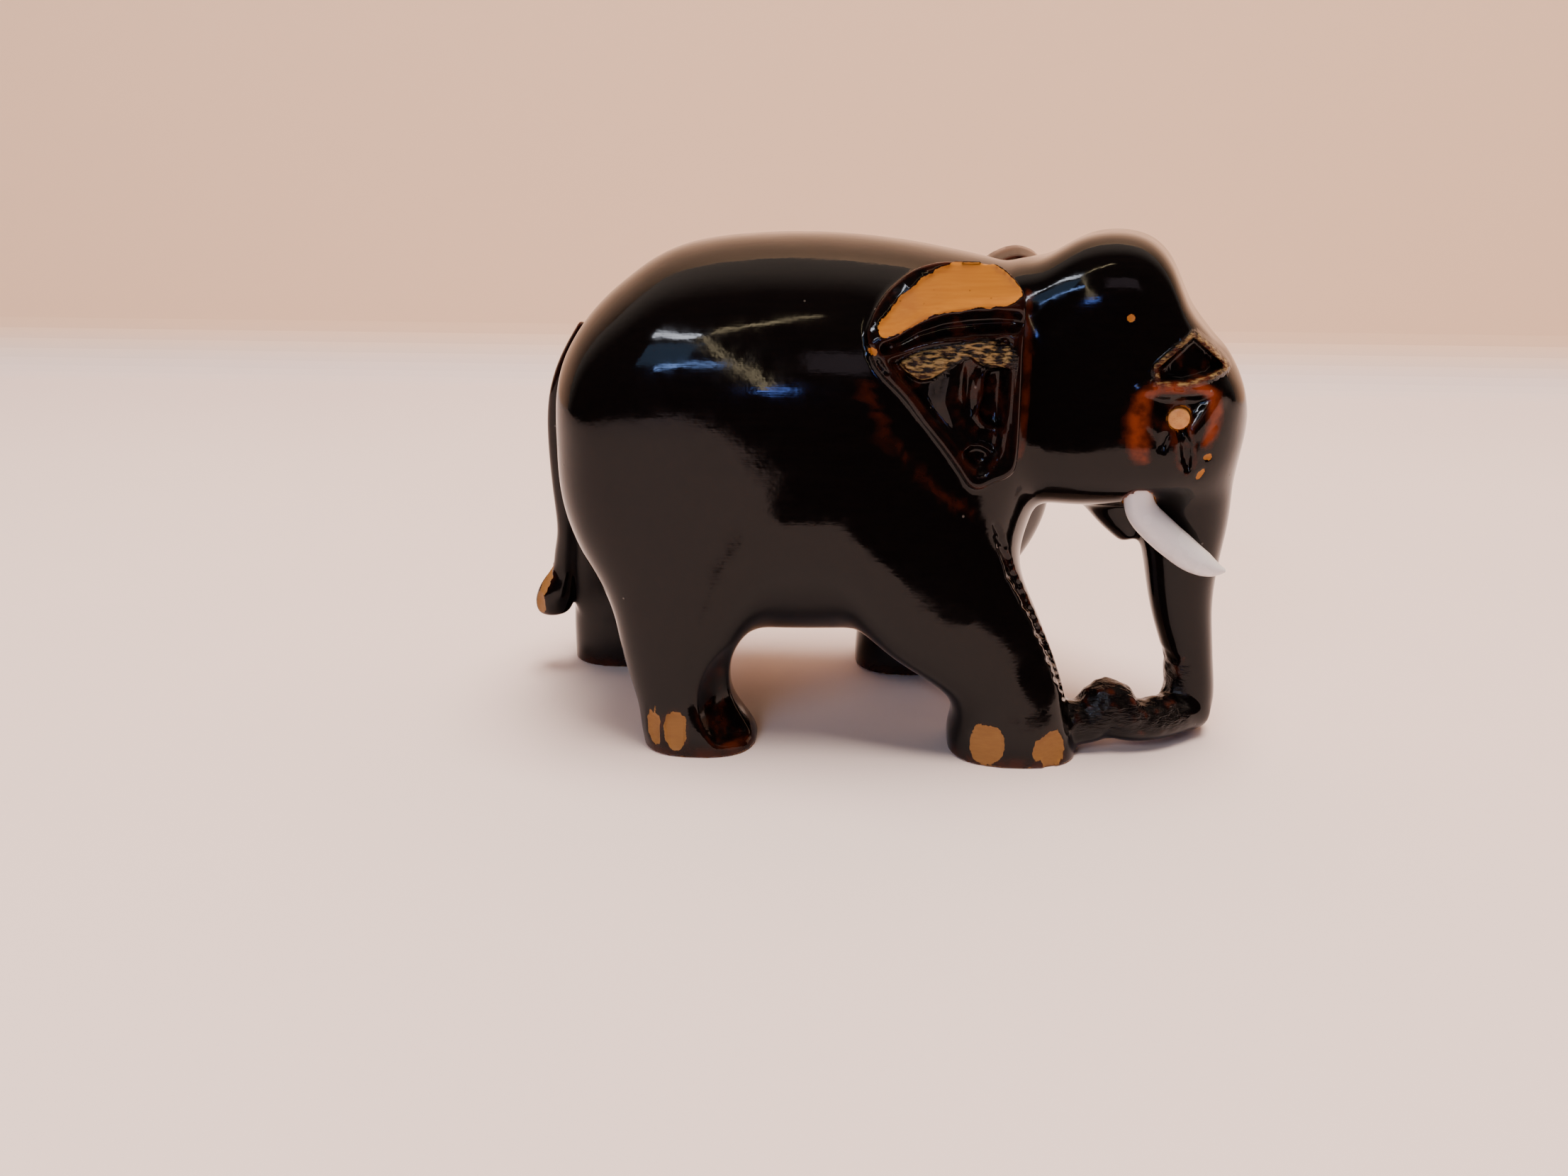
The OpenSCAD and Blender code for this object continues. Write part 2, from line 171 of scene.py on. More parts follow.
def skin_along_path(stations):
    """A station is (x, y, z, half width, half depth)."""
    s = smooth_curve(stations, 0.4)
    o = oval(64, 2)
    run = np.gradient(s[:, :3], axis=0)
    ahead = run / np.linalg.norm(run, axis=1, keepdims=True)
    side = np.cross([0.0, 0.0, 1.0], ahead)
    side /= np.linalg.norm(side, axis=1, keepdims=True)
    rise = np.cross(ahead, side)
    rings = (s[:, None, :3] + side[:, None] * o[None, :, :1] * s[:, None, 3:4]
             + rise[:, None] * o[None, :, 1:] * s[:, None, 4:5])
    return skin(rings)


def turn(points):
    """From the straight head to the head turned to the elephant's right."""
    p = np.array(points, float)
    c, s = math.cos(math.radians(HEAD_TURN)), math.sin(math.radians(HEAD_TURN))
    x, y = p[..., 0] - NECK_X, p[..., 1].copy()
    p[..., 0] = NECK_X + x * c + y * s
    p[..., 1] = y * c - x * s
    return p


def unturn(x, y):
    """From a place on the turned head back to the straight head."""
    c, s = math.cos(math.radians(HEAD_TURN)), math.sin(math.radians(HEAD_TURN))
    return NECK_X + (x - NECK_X) * c - y * s, (x - NECK_X) * s + y * c


class Block:
    """The part of the field between two corners, with its X, Y and Z."""

    def __init__(self, low, high):
        lo = np.clip(np.floor(np.array(low) / VOXEL).astype(int) - CORNER, 0, COUNT - 1)
        hi = np.clip(np.ceil(np.array(high) / VOXEL).astype(int) - CORNER + 1, 1, COUNT)
        self.start = lo + CORNER
        self.cut = tuple(slice(a, b) for a, b in zip(lo, hi))
        self.x = AXES[0][self.cut[0]][:, None, None]
        self.y = AXES[1][self.cut[1]][None, :, None]
        self.z = AXES[2][self.cut[2]][None, None, :]
        self.shape = tuple(hi - lo)


def melt(a, b, k):
    """The union of two fields, with the joint filled to a radius of about k."""
    h = np.maximum(k - np.abs(a - b), 0) / k
    return np.minimum(a, b) - h * h * k / 4


def level_set(block, shape):
    """The distances of a closed skin, as a field over its block."""
    points, triangles = shape
    grid = openvdb.FloatGrid.createLevelSetFromPolygons(
        points.astype(np.float32), triangles=triangles.astype(np.uint32),
        transform=TRANSFORM, halfWidth=float(BAND))
    part = np.zeros(block.shape, np.float32)
    grid.copyToArray(part, ijk=tuple(int(v) for v in block.start))
    return part


def take_out(field, shape, grow):
    """Cuts a closed skin, made bigger by so much, out of the field."""
    points = shape[0]
    block = Block(points.min(0) - 2, points.max(0) + 2)
    field[block.cut] = np.maximum(field[block.cut], grow - level_set(block, shape))


def scoop(a, tool, k):
    """What is left of a when a tool is taken out of it, with the edge eased by about k."""
    h = np.maximum(k - np.abs(a + tool), 0) / k
    return np.maximum(a, -tool) + h * h * k / 4


def add(field, shape, k):
    """Melts a closed skin into the field."""
    points = shape[0]
    block = Block(points.min(0) - FAR, points.max(0) + FAR)
    field[block.cut] = melt(field[block.cut], level_set(block, shape), k)


def soften(field, times):
    """Evens out the facets of the lofts."""
    for _ in range(times):
        for axis in range(3):
            f = np.moveaxis(field, axis, 0)
            f[1:-1] = (f[:-2] + 2 * f[1:-1] + f[2:]) / 4
    return field


def waves(block, spacing, seed):
    """Smooth unevenness of about unit height whose humps are so many millimetres apart."""
    rng = np.random.default_rng(seed)
    mats = []
    for axis in (block.x, block.y, block.z):
        p = axis.ravel() / spacing
        base = np.floor(p).astype(int)
        low = base.min() - 1
        n = base.max() - low + 3
        m = np.zeros((len(p), n), np.float32)
        f = p - base
        w = [(1 - f) ** 3 / 6, (3 * f ** 3 - 6 * f ** 2 + 4) / 6,
             (-3 * f ** 3 + 3 * f ** 2 + 3 * f + 1) / 6, f ** 3 / 6]
        for k in range(4):
            m[np.arange(len(p)), base - low - 1 + k] = w[k]
        mats.append(m)
    out = rng.normal(size=tuple(m.shape[1] for m in mats)).astype(np.float32)
    for axis, m in enumerate(mats):
        out = np.moveaxis(np.tensordot(m, out, axes=(1, axis)), 0, axis)
    return out * 2.4


def outline_gap(points, u, v):
    """Distance to a closed outline, less than nothing inside it."""
    p = np.array(points, float)
    best, inside = np.full(np.broadcast(u, v).shape, 1e9), np.zeros(np.broadcast(u, v).shape, bool)
    for (x0, z0), (x1, z1) in zip(p, np.roll(p, -1, axis=0)):
        dx, dz = x1 - x0, z1 - z0
        t = np.clip(((u - x0) * dx + (v - z0) * dz) / (dx * dx + dz * dz + 1e-9), 0, 1)
        best = np.minimum(best, np.hypot(u - x0 - t * dx, v - z0 - t * dz))
        if z1 != z0:
            inside ^= ((z0 > v) != (z1 > v)) & (u < (x1 - x0) * (v - z0) / (z1 - z0) + x0)
    return np.where(inside, -best, best)


def line_gap(points, u, v):
    """Distance to an open line whose width changes along it; a point is (u, v, half width)."""
    best = None
    for (x0, z0, w0), (x1, z1, w1) in zip(points[:-1], points[1:]):
        dx, dz = x1 - x0, z1 - z0
        t = np.clip(((u - x0) * dx + (v - z0) * dz) / (dx * dx + dz * dz + 1e-9), 0, 1)
        d = np.hypot(u - x0 - t * dx, v - z0 - t * dz) / (w0 + (w1 - w0) * t)
        best = d if best is None else np.minimum(best, d)
    return best


def ease(v, low, high):
    """0 below low, 1 above high, and smooth between them."""
    t = np.clip((v - low) / (high - low), 0, 1)
    return t * t * (3 - 2 * t)


def ridge(points, u, v):
    """A rounded ridge, 1 along its line and 0 from its half width on."""
    return np.clip(1 - line_gap(points, u, v) ** 2, 0, 1) ** 1.5


# ---- Rough shapes ----------------------------------------------------------------------------

def torso():
    """A station is (run, bottom, top, width), in shares of the length, height and width."""
    shares = [(0, .50, .54, .03), (.018, .33, .68, .50), (.05, .22, .76, .72), (.095, .13, .83, .85),
              (.16, .06, .90, .93), (.25, .02, .965, .98), (.385, 0, .995, 1), (.535, 0, 1, 1),
              (.69, .01, .985, .98), (.81, .05, .96, .93), (.90, .14, .935, .82), (.96, .27, .89, .62),
              (1, .50, .65, .12)]
    rise = BACK_H - BELLY_H
    return skin_along_x([(RUMP_X + u * TORSO_L, BELLY_H + b * rise, BELLY_H + t * rise, w * TORSO_W / 2)
                         for u, b, t, w in shares], 2.7)


# A station of the head, in shares of its length, height, height and width: (run, bottom, top, width)
HEAD_SHARES = [(0, .45, .75, .80), (.07, .12, .885, .99), (.17, .03, .91, 1.03), (.30, 0, .975, 1.03),
               (.44, 0, 1, 1), (.57, .01, .975, .95), (.67, .03, .89, .90), (.75, .05, .755, .86),
               (.84, .08, .655, .77), (.92, .12, .56, .62), (.97, .20, .46, .42), (1, .30, .36, .06)]
# How square the head is in section: the higher, the squarer
CROWN_POWER, JAW_POWER = 5.0, 3.4


def head():
    """The head without its ears, turned."""
    rise = HEAD_H - JAW_H
    points, faces = skin_along_x([(NAPE + s * HEAD_L, JAW_H + b * rise, JAW_H + t * rise, w * HEAD_W / 2)
                                  for s, b, t, w in HEAD_SHARES], CROWN_POWER, JAW_POWER)
    return turn(points), faces


def leg(side, foot_x, stations):
    """A station is (height, rear, front, share of the width cut inside, inset outside)."""
    out = []
    for z, rear, front, inner, outer in [(-3,) + stations[0][1:]] + stations:
        a = STANCE_W / 2 - FOOT_W + inner * FOOT_W
        b = STANCE_W / 2 - outer
        out.append((z, foot_x + rear, foot_x + front) + ((a, b) if side > 0 else (-b, -a)))
    return skin_along_z(out, 2.6)


def legs():
    return [
        leg(RIGHT, FORE_X, [
            (0, -8.7, 8.5, 0, 0), (2.5, -8.8, 8.1, 0, 0), (5, -8.4, 7.3, .01, .3), (7.5, -9.2, 6.7, .02, .7),
            (10, -12, 6.0, .01, .9), (14, -18, 4.5, -.03, 1.0), (19, -22, 2.3, -.1, 1.0),
            (25, -24, -.7, -.25, 1.4), (32, -24, -4.4, -.3, 3.0), (40, -22, -7.1, -.35, 7.0),
            (46, -19, -10, -.2, 12)]),
        leg(RIGHT, HIND_X, [
            (0, -7.6, 8.0, 0, 0), (2, -7.9, 7.1, 0, 0), (5, -8.2, 5.1, .02, .4), (8, -8.9, 4.2, .03, .9),
            (12, -9.9, 4.6, .03, 1.0), (17, -10.9, 6.9, -.04, .9), (23, -12.6, 9.4, -.2, 1.4),
            (30, -15.1, 10.4, -.3, 3.0), (38, -15.6, 8.4, -.35, 6.5), (44, -12.6, 4.4, -.2, 11)]),
        leg(LEFT, LEFT_FORE_X, [
            (0, -8.3, 8.2, 0, 0), (3, -8.3, 8.0, 0, 0), (7, -7.8, 8.8, .02, .5), (12, -6.5, 11.8, .02, .8),
            (18, -6.0, 16.0, -.05, .9), (24, -7.0, 18.6, -.22, 1.2), (30, -8, 19.4, -.36, 1.9),
            (37, -7, 16.5, -.38, 6.0), (43, -4, 9, -.2, 11)]),
        leg(LEFT, LEFT_HIND_X, [
            (0, -8.7, 8.0, 0, 0), (3, -8.7, 7.0, 0, 0), (7, -8.6, 6.0, .02, .5), (12, -8.1, 7.5, .02, .8),
            (18, -7.2, 11.5, 0, .9), (25, -5.3, 16.5, -.15, 1.2), (32, -2.5, 19.5, -.3, 3.0),
            (40, .5, 18.5, -.35, 7.0), (45, 4.5, 16.5, -.2, 11)])]


def trunk():
    """A share is (height, rear, front, half width): mm up, then shares of the trunk's own sizes."""
    mid = FOREHEAD - 0.55 * TRUNK_D
    shares = [(.5, .15, .48, .22), (2, -.02, .65, .37), (5, -.08, .72, .41), (9.6, -.12, .66, .42),
              (14.6, -.31, .57, .45), (19.5, -.49, .51, .50), (25, -.64, .53, .57), (30, -.80, .57, .66),
              (35, -.92, .56, .77), (41, -.98, .54, .86), (47, -.85, .48, .80), (52, -.50, .15, .50)]
    points, faces = skin_along_z([(z, mid + r * TRUNK_D, mid + f * TRUNK_D, -w * TRUNK_W, w * TRUNK_W)
                                  for z, r, f, w in shares], 2.2)
    return turn(points), faces


def lower_lip():
    """The pointed lip behind the trunk."""
    points, faces = skin_along_path([
        (NAPE + .40 * HEAD_L, 0, JAW_H + 4.4, 5.0, 3.6), (NAPE + .50 * HEAD_L, 0, JAW_H + .6, 4.4, 3.4),
        (NAPE + .57 * HEAD_L, 0, JAW_H - 2.8, 3.5, 2.6), (NAPE + .61 * HEAD_L, 0, JAW_H - 5.4, 2.0, 1.3)])
    return turn(points), faces


def bridge():
    """The rough wood left between the trunk's tip and the right forefoot."""
    tip = turn([FOREHEAD - 1.8, 0, 0])
    toe = np.array([FORE_X + 0.4 * FOOT_L, -STANCE_W / 2 + 0.5 * FOOT_W, 0])
    out = []
    for share, sag, lift, half in [(0, .4, .2, .34), (.12, 1.4, 0, .44), (.34, 2.4, 0, .46),
                                   (.54, 2.0, .2, .52), (.68, 1.2, .4, .68), (.82, .6, 0, .52),
                                   (1, 0, 0, .50)]:
        p = tip + share * (toe - tip)
        out.append((p[0], p[1] - sag, 0.6 + half * BRIDGE_H + lift, 0.52 * BRIDGE_H, half * BRIDGE_H))
    return skin_along_path(out)


def tail():
    """The tail hangs against the rump and ends in a thick tuft beside the left hind leg."""
    r = TAIL_D / 2
    return skin_along_path([
        (RUMP_X + 3.5, 0, BACK_H - 12, .6 * r, .6 * r), (RUMP_X + .9, .3, BACK_H - 17, .9 * r, .9 * r),
        (RUMP_X - 1.0, .8, BACK_H - 22.5, r, r), (RUMP_X - 1.7, 1.6, BACK_H - 29, r, r),
        (RUMP_X - 1.8, 3.0, BACK_H - 37, r, r), (RUMP_X - 2.1, 4.8, BACK_H - 43.0, r, r),
        (-46.3, 6.4, 19.0, 1.15 * r, 1.2 * r), (-46.9, 7.0, 16.2, 1.25 * r, 1.3 * r),
        (-48.0, 7.3, 13.0, 1.9 * r, 1.9 * r), (-48.8, 7.6, 10.7, 2.0 * r, 2.0 * r),
        (-48.9, 7.8, 9.5, 1.7 * r, 1.7 * r), (-48.9, 7.8, 8.7, .8 * r, .8 * r)])


def tuft_root():
    """The wood left between the tail and the left hind leg."""
    return skin_along_z([
        (6.5, -43.6, -40, 9.2, 11.5), (9, -45.6, -39, 8.6, 12), (12, -47.0, -39, 7.8, 12.5),
        (16, -47.0, -38, 6.6, 12.5), (20, -46.2, -37, 5.2, 11.5),
        (26, -45.2, -37, 2.2, 9), (33, -44.6, -38, 1, 7.5)], 2.6)


EAR_TOP = HEAD_H - 2.9

RIGHT_EAR = [(-2, 55.4), (-1.5, 57.2), (-.6, 59.1), (.9, 61), (3, 62.7), (5.1, 63.5), (7.2, 63.8),
             (10.4, 63.8), (12.6, 63.6), (14.2, 62.6), (15.4, 61.2), (16.2, 59.3), (16.3, 53.5),
             (16.5, 46.8), (16.5, 40.4), (15.6, 38.6), (13.8, 37.8), (12.3, 37), (10.9, 37.5),
             (9.4, 39.6), (7.5, 42.1), (4.8, 45.3), (2.5, 48.2), (.1, 50.6), (-1.4, 52.8)]
LEFT_EAR = [(7.9, 55), (9.4, 57.5), (11.9, 59.9), (14.4, 61.5), (16.5, 63.0), (19.1, 63.8), (21.5, 63.2),
            (23.1, 61.7), (24.4, 59), (25.3, 56), (26.1, 51.5), (26.4, 46), (26.4, 40.4), (25.5, 38.6),
            (23.7, 37.8), (22.2, 37), (20.8, 37.5), (19.3, 39.6), (17.4, 42.1), (14.7, 45.3), (12.4, 48.2),
            (10, 50.6), (8.5, 52.8)]


def ear_root(side):
    """How far forward an ear grows from the turned head."""
    return turn([NAPE + 0.17 * HEAD_L, side * EAR_SPAN / 2, 0])[0]


def ear(side):
    """A flat slab whose upper rear edge is well rounded on the outside."""
    loop = smooth_outline(LEFT_EAR if side > 0 else RIGHT_EAR, 6)
    centre = loop.mean(0)
    rings = []
    for inward, share in [(8.5, .90), (5, .97), (3, .99), (2, 1.0), (1, 1.0), (.5, .995),
                          (.15, .98), (0, .96)]:
        q = centre + (loop - centre) * share
        rings.append(np.stack([q[:, 0], np.full(len(q), side * (EAR_SPAN / 2 - inward)), q[:, 1]], axis=1))
    return skin(np.array(rings))


# ---- Knife work ------------------------------------------------------------------------------

# Places on an ear are given as on the right one: (x, z)
CRESCENT = [(-2.6, 53.0, 1), (-1.2, 54.2, 1), (.1, 55.2, 1), (1.5, 55.5, 1), (3, 56.2, 1), (4.8, 57.4, 1),
            (7.1, 58.1, 1), (9.8, 58.5, 1), (12.9, 58.7, 1), (15.4, 58.9, 1), (17.4, 59.1, 1)]
BARE_PATCH = [(-.5, 56.4), (.7, 58.1), (2.1, 59.6), (3.6, 61.0), (5, 62), (6.6, 62.9), (8.3, 63.5),
              (10.8, 63.6), (12.9, 63.4), (14.3, 62.7), (15.2, 61.7), (15.5, 60.6), (15.1, 59.7),
              (14.0, 59.2), (12.2, 58.9), (9.8, 58.7), (7.1, 58.3), (4.8, 57.6), (3, 56.4), (1.5, 55.6),
              (.2, 55.3), (-.4, 55.6)]
EAR_FIELD = [(.7, 52.9), (3.2, 54.0), (5.6, 54.6), (9, 55.0), (12.7, 55.4), (14.7, 55.4), (14.8, 52),
             (14.75, 48), (14.7, 44.5), (14.5, 42.0), (13.6, 40.0), (12.3, 38.8), (11.2, 39.4),
             (9.9, 41.0), (8.0, 43.4), (5.4, 46.4), (3.2, 48.9), (1.5, 50.7), (.6, 51.9)]
EAR_LIP = [(1.8, 52.3), (3.7, 53.5), (5.6, 54.1), (9.8, 54.8), (12.7, 55.1), (15.2, 54.2), (15.3, 52.0),
           (12.3, 51.7), (11, 52.3), (9.9, 53.0), (8.1, 51.9), (6.1, 50.4), (4.2, 50.1), (2.6, 51.1)]
EAR_FRONT_HOLLOW = [(12.15, 51.5), (14.9, 51.7), (15.0, 48.0), (14.7, 44.4), (12.3, 45.1), (11.6, 46.0),
                    (11.8, 48.0)]


def carve_ear(field, side):
    """Sinks the field of an ear, leaves its folds, and slopes its upper part back."""
    root = ear_root(side)
    face = EAR_SPAN / 2
    ys = (face - 7, face + 2) if side > 0 else (-face - 2, -face + 7)
    block = Block((root - EAR_L - 2, ys[0], EAR_TOP - EAR_H - 1), (root + 1.5, ys[1], EAR_TOP + 1.5))
    u = (block.x - root + ear_root(RIGHT))[:, 0, :] + 0 * block.z[:, 0, :]
    v = block.z[:, 0, :] + 0 * u
    line = np.array(CRESCENT)
    gap = line_gap(CRESCENT, u, v)
    above = np.where(v > np.interp(u, line[:, 0], line[:, 1]), gap, -gap)
    # The slope of the upper part, and the smooth channel under it
    sunk = 0.55 * np.maximum(above, 0) * ease(above, 0, 1.2)
    channel = [(.3, 53.9, .8), (1.9, 54.3, 1.15), (4.2, 55.6, 1.5), (7, 56.5, 1.7), (10, 56.9, 1.8),
               (13, 57.1, 1.8), (15.0, 57.1, 1.5)]
    sunk += 1.5 * ridge(channel, u, v)
    field_gap = outline_gap(smooth_outline(EAR_FIELD, 4), u, v)
    sunk = np.maximum(sunk, 1.35 * ease(-field_gap, -0.1, 1.0))
    lip = ease(-outline_gap(smooth_outline(EAR_LIP, 4), u, v), -0.1, 0.7)
    sunk -= 0.95 * lip
    fold = ridge([(10.0, 53.6, 1.4), (8.3, 50.8, 2.5), (7.8, 47.8, 2.4), (8.8, 44.8, 1.8),
                  (10.0, 42.7, 1.2)], u, v)
    sunk -= 0.95 * fold * (1 - lip)
    sunk += 0.35 * ridge([(9.9, 52.3, .6), (10.2, 49.0, .8), (10.6, 46.6, .6)], u, v)
    sunk += 0.95 * ease(-outline_gap(EAR_FRONT_HOLLOW, u, v), -0.05, 0.22)
    sunk -= 0.45 * ridge([(12.2, 51.5, .38), (11.75, 47.8, .40), (11.35, 46.0, .40), (12.2, 45.0, .4)], u, v)
    boss = np.hypot((u - 11.6) / 1.95, (v - 41.1) / 1.4)
    sunk -= 0.55 * (1 - ease(np.abs(boss - 1), 0, 0.22)) - 0.25 * (1 - ease(boss, 0.5, 0.9))
    sunk += 0.7 * ridge([(-.7, 52.6, .5), (.3, 51.2, .45)], u, v)
    rough = waves(block, 0.8, 31)[:, 0, :] * 0.16 * lip
    skin_y = face - np.maximum(sunk, 0) - rough
    cut = side * block.y - skin_y[:, None, :]
    field[block.cut] = np.maximum(field[block.cut], cut * 0.86)
    return block, u, v


def bevel_ear(field, block, u, v, side):
    """The knife cut that bares the upper rim, a little inside the edge of the ear."""
    outline = np.array(LEFT_EAR if side > 0 else RIGHT_EAR)
    outline[:, 0] += ear_root(RIGHT) - ear_root(side)
    inside = -outline_gap(smooth_outline(outline, 4), u, v)
    ragged = 0.10 * waves(block, 0.7, 7)[:, 0, :]
    rim = 0.30 if side < 0 else 1.1
    patch = np.maximum(outline_gap(smooth_outline(BARE_PATCH, 4), u, v), rim - inside) + ragged
    depth = 0.26 * ease(-patch, -0.12, 0.12) + 0.05 * waves(block, 2.6, 5)[:, 0, :] * ease(-patch, 0.2, 1)
    spot = np.hypot((u + 1.3) / .6, (v - 53.6) / .45)
    depth = np.maximum(depth, 0.2 * (1 - ease(spot, .8, 1.1)))
    near = ease(side * block.y, EAR_SPAN / 2 - 5.5, EAR_SPAN / 2 - 4.5)
    field[block.cut] += depth[:, None, :] * near


def head_block(side, low, high):
    """A block round a stretch of one side of the turned head, with the straight head's places."""
    corners = turn([(x, side * y, 0) for x in (low[0], high[0]) for y in (low[1], high[1])])
    block = Block((corners[:, 0].min(), corners[:, 1].min(), low[2]),
                  (corners[:, 0].max(), corners[:, 1].max(), high[2]))
    hx, hy = unturn(block.x, block.y)
    return block, hx, hy * side


EYE_STATION = 7  # the head station that passes through the eyes
EYE_SUNK = 0.3   # mm from the cheek in to an eye's face
EYE_X = NAPE + 0.75 * HEAD_L
EYE_Z = JAW_H + 0.385 * (HEAD_H - JAW_H)
# Places round an eye: forward of its middle and above it
EYE_CUT = [(-4.1, 2.8), (-1.0, 3.0), (3.4, 2.9), (2.7, .8), (1.4, -1.4), (.3, -2.6), (-.6, -2.0), (-2.6, .2)]
BROW_CUT = [(-2.9, 6.1), (-1.2, 7.9), (.6, 9.6), (2.6, 7.9), (4.6, 6.0), (2.7, 5.2), (0, 4.5), (-2.5, 4.6)]
TEAR_CUT = [(.6, -1.6, .8), (1.1, -3.2, 1.1), (1.4, -4.8, 1.0), (1.7, -6.2, .5)]
# A chip is (forward of the eye, above it, half length, half height, lean in degrees)
CHIPS = [(3.9, -4.8, .62, .27, 0), (3.3, -7.0, .85, .25, 62), (-6.7, 11.9, .45, .45, 0)]


def carve_eye(field, side):
    """Sinks the socket, the hollow under the brow and the groove below the eye."""
    block, hx, hy = head_block(side, (EYE_X - 9, 5, EYE_Z - 10), (EYE_X + 8, 15, EYE_Z + 13))
    u, v = hx - EYE_X, block.z - EYE_Z + 0 * hx
    outer = ease(hy, 4.0, 5.5)
    socket = outline_gap(smooth_outline(EYE_CUT, 3), u, v)
    depth = 0.9 * ease(-socket, -0.1, 1.2)
    depth -= 0.22 * ease(socket, -0.1, 0.4) * (1 - ease(socket, 0.9, 2.2)) * ease(v, -4, 0)
    brow = outline_gap(BROW_CUT, u, v)
    depth += ease(-brow, -0.03, 0.30) * (0.45 + 0.16 * np.clip(10.3 - v, 0, 6))
    depth -= 0.16 * (1 - ease(np.abs(brow - 0.35), 0, 0.35))
    depth += 0.85 * ridge(TEAR_CUT, u, v)
    depth += 0.4 * ridge([(-1.2, -2.0, .7), (-1.5, -3.4, .5)], u, v)
    field[block.cut] += depth * outer * 0.92


def bare_chips(field, side):
    """Small places round the eye and on the forehead where the lacquer has chipped off."""
    for x, z, half_l, half_h, lean in CHIPS:
        block, hx, _ = head_block(
            side, (EYE_X + x - 2, 3, EYE_Z + z - 2), (EYE_X + x + 2, 15, EYE_Z + z + 2))
        u, v = hx - EYE_X - x, block.z - EYE_Z - z + 0 * hx
        c, s = math.cos(math.radians(lean)), math.sin(math.radians(lean))
        gap = np.hypot((u * c + v * s) / half_l, (v * c - u * s) / half_h)
        field[block.cut] += 0.20 * (1 - ease(gap, 0.7, 1.15))


def eye_face():
    """How far from the middle plane of the head an eye's flat face lies."""
    _, b, t, w = HEAD_SHARES[EYE_STATION]
    low, high = JAW_H + b * (HEAD_H - JAW_H), JAW_H + t * (HEAD_H - JAW_H)
    reach = abs(EYE_Z - (low + high) / 2) / ((high - low) / 2)
    return w * HEAD_W / 2 * (1 - reach ** JAW_POWER) ** (1 / JAW_POWER) - EYE_SUNK


# A nail is (forward of its foot's middle, height of its middle, half width, half height, depth)
FORE_NAILS = [(-4.15, 3.05, 2.2, 2.6, .40), (4.6, 2.5, 1.8, 2.2, .42), (2.6, 3.0, .4, 1.3, .22)]
HIND_NAILS = [(-5.5, 3.65, .85, 2.5, .36), (-2.5, 3.65, 1.3, 2.5, .40)]
# In NAILS a foot's (middle x, side) comes before each nail
NAILS = ([(FORE_X, RIGHT) + n for n in FORE_NAILS] + [(HIND_X, RIGHT) + n for n in HIND_NAILS]
         + [(LEFT_FORE_X, LEFT) + n for n in FORE_NAILS] + [(LEFT_HIND_X, LEFT) + n for n in HIND_NAILS])


def chip(field, lacquered, start, inward, half_w, half_h, depth, seed):
    """A flat cut through the lacquer where a line from the start meets the wood."""
    steps = np.array(start) + np.array(inward) * np.arange(0, 14, 0.05)[:, None]
    hit = steps[np.argmax(look_up(lacquered, steps) < 0)]
    normal = slope(lacquered, hit[None], 2.5)[0]
    normal /= np.linalg.norm(normal)
    across = np.cross([0, 0, 1], normal)
    across /= np.linalg.norm(across)
    up = np.cross(normal, across)
    block = Block(hit - 5, hit + 5)
    dx, dy, dz = block.x - hit[0], block.y - hit[1], block.z - hit[2]
    u = dx * across[0] + dy * across[1] + dz * across[2]
    v = dx * up[0] + dy * up[1] + dz * up[2]
    w = dx * normal[0] + dy * normal[1] + dz * normal[2]
    edge = (np.abs(u / half_w) ** 2.8 + np.abs(v / half_h) ** 2.8) ** (1 / 2.8) - 1
    edge = edge * min(half_w, half_h) + 0.09 * waves(block, 0.7, seed)
    # The chisel's small bites along the upper edge
    edge += 0.12 * np.sin(u * 11 + seed) * ease(v / half_h, 0.3, 0.8)
    tool = np.maximum(edge, -(w + depth - 0.03 * waves(block, 0.9, seed + 1)))
    field[block.cut] = np.maximum(field[block.cut], -tool)


# Places down the front edge of the right foreleg: (x, z)
NOTCH_PATH = [(13.9, 31.0), (14.9, 29), (16.3, 26.3), (17.6, 23.9), (18.8, 21.3), (20.1, 18.9),
              (21.7, 16.1), (23.1, 13.7), (24.3, 11.2), (25.1, 8.2)]


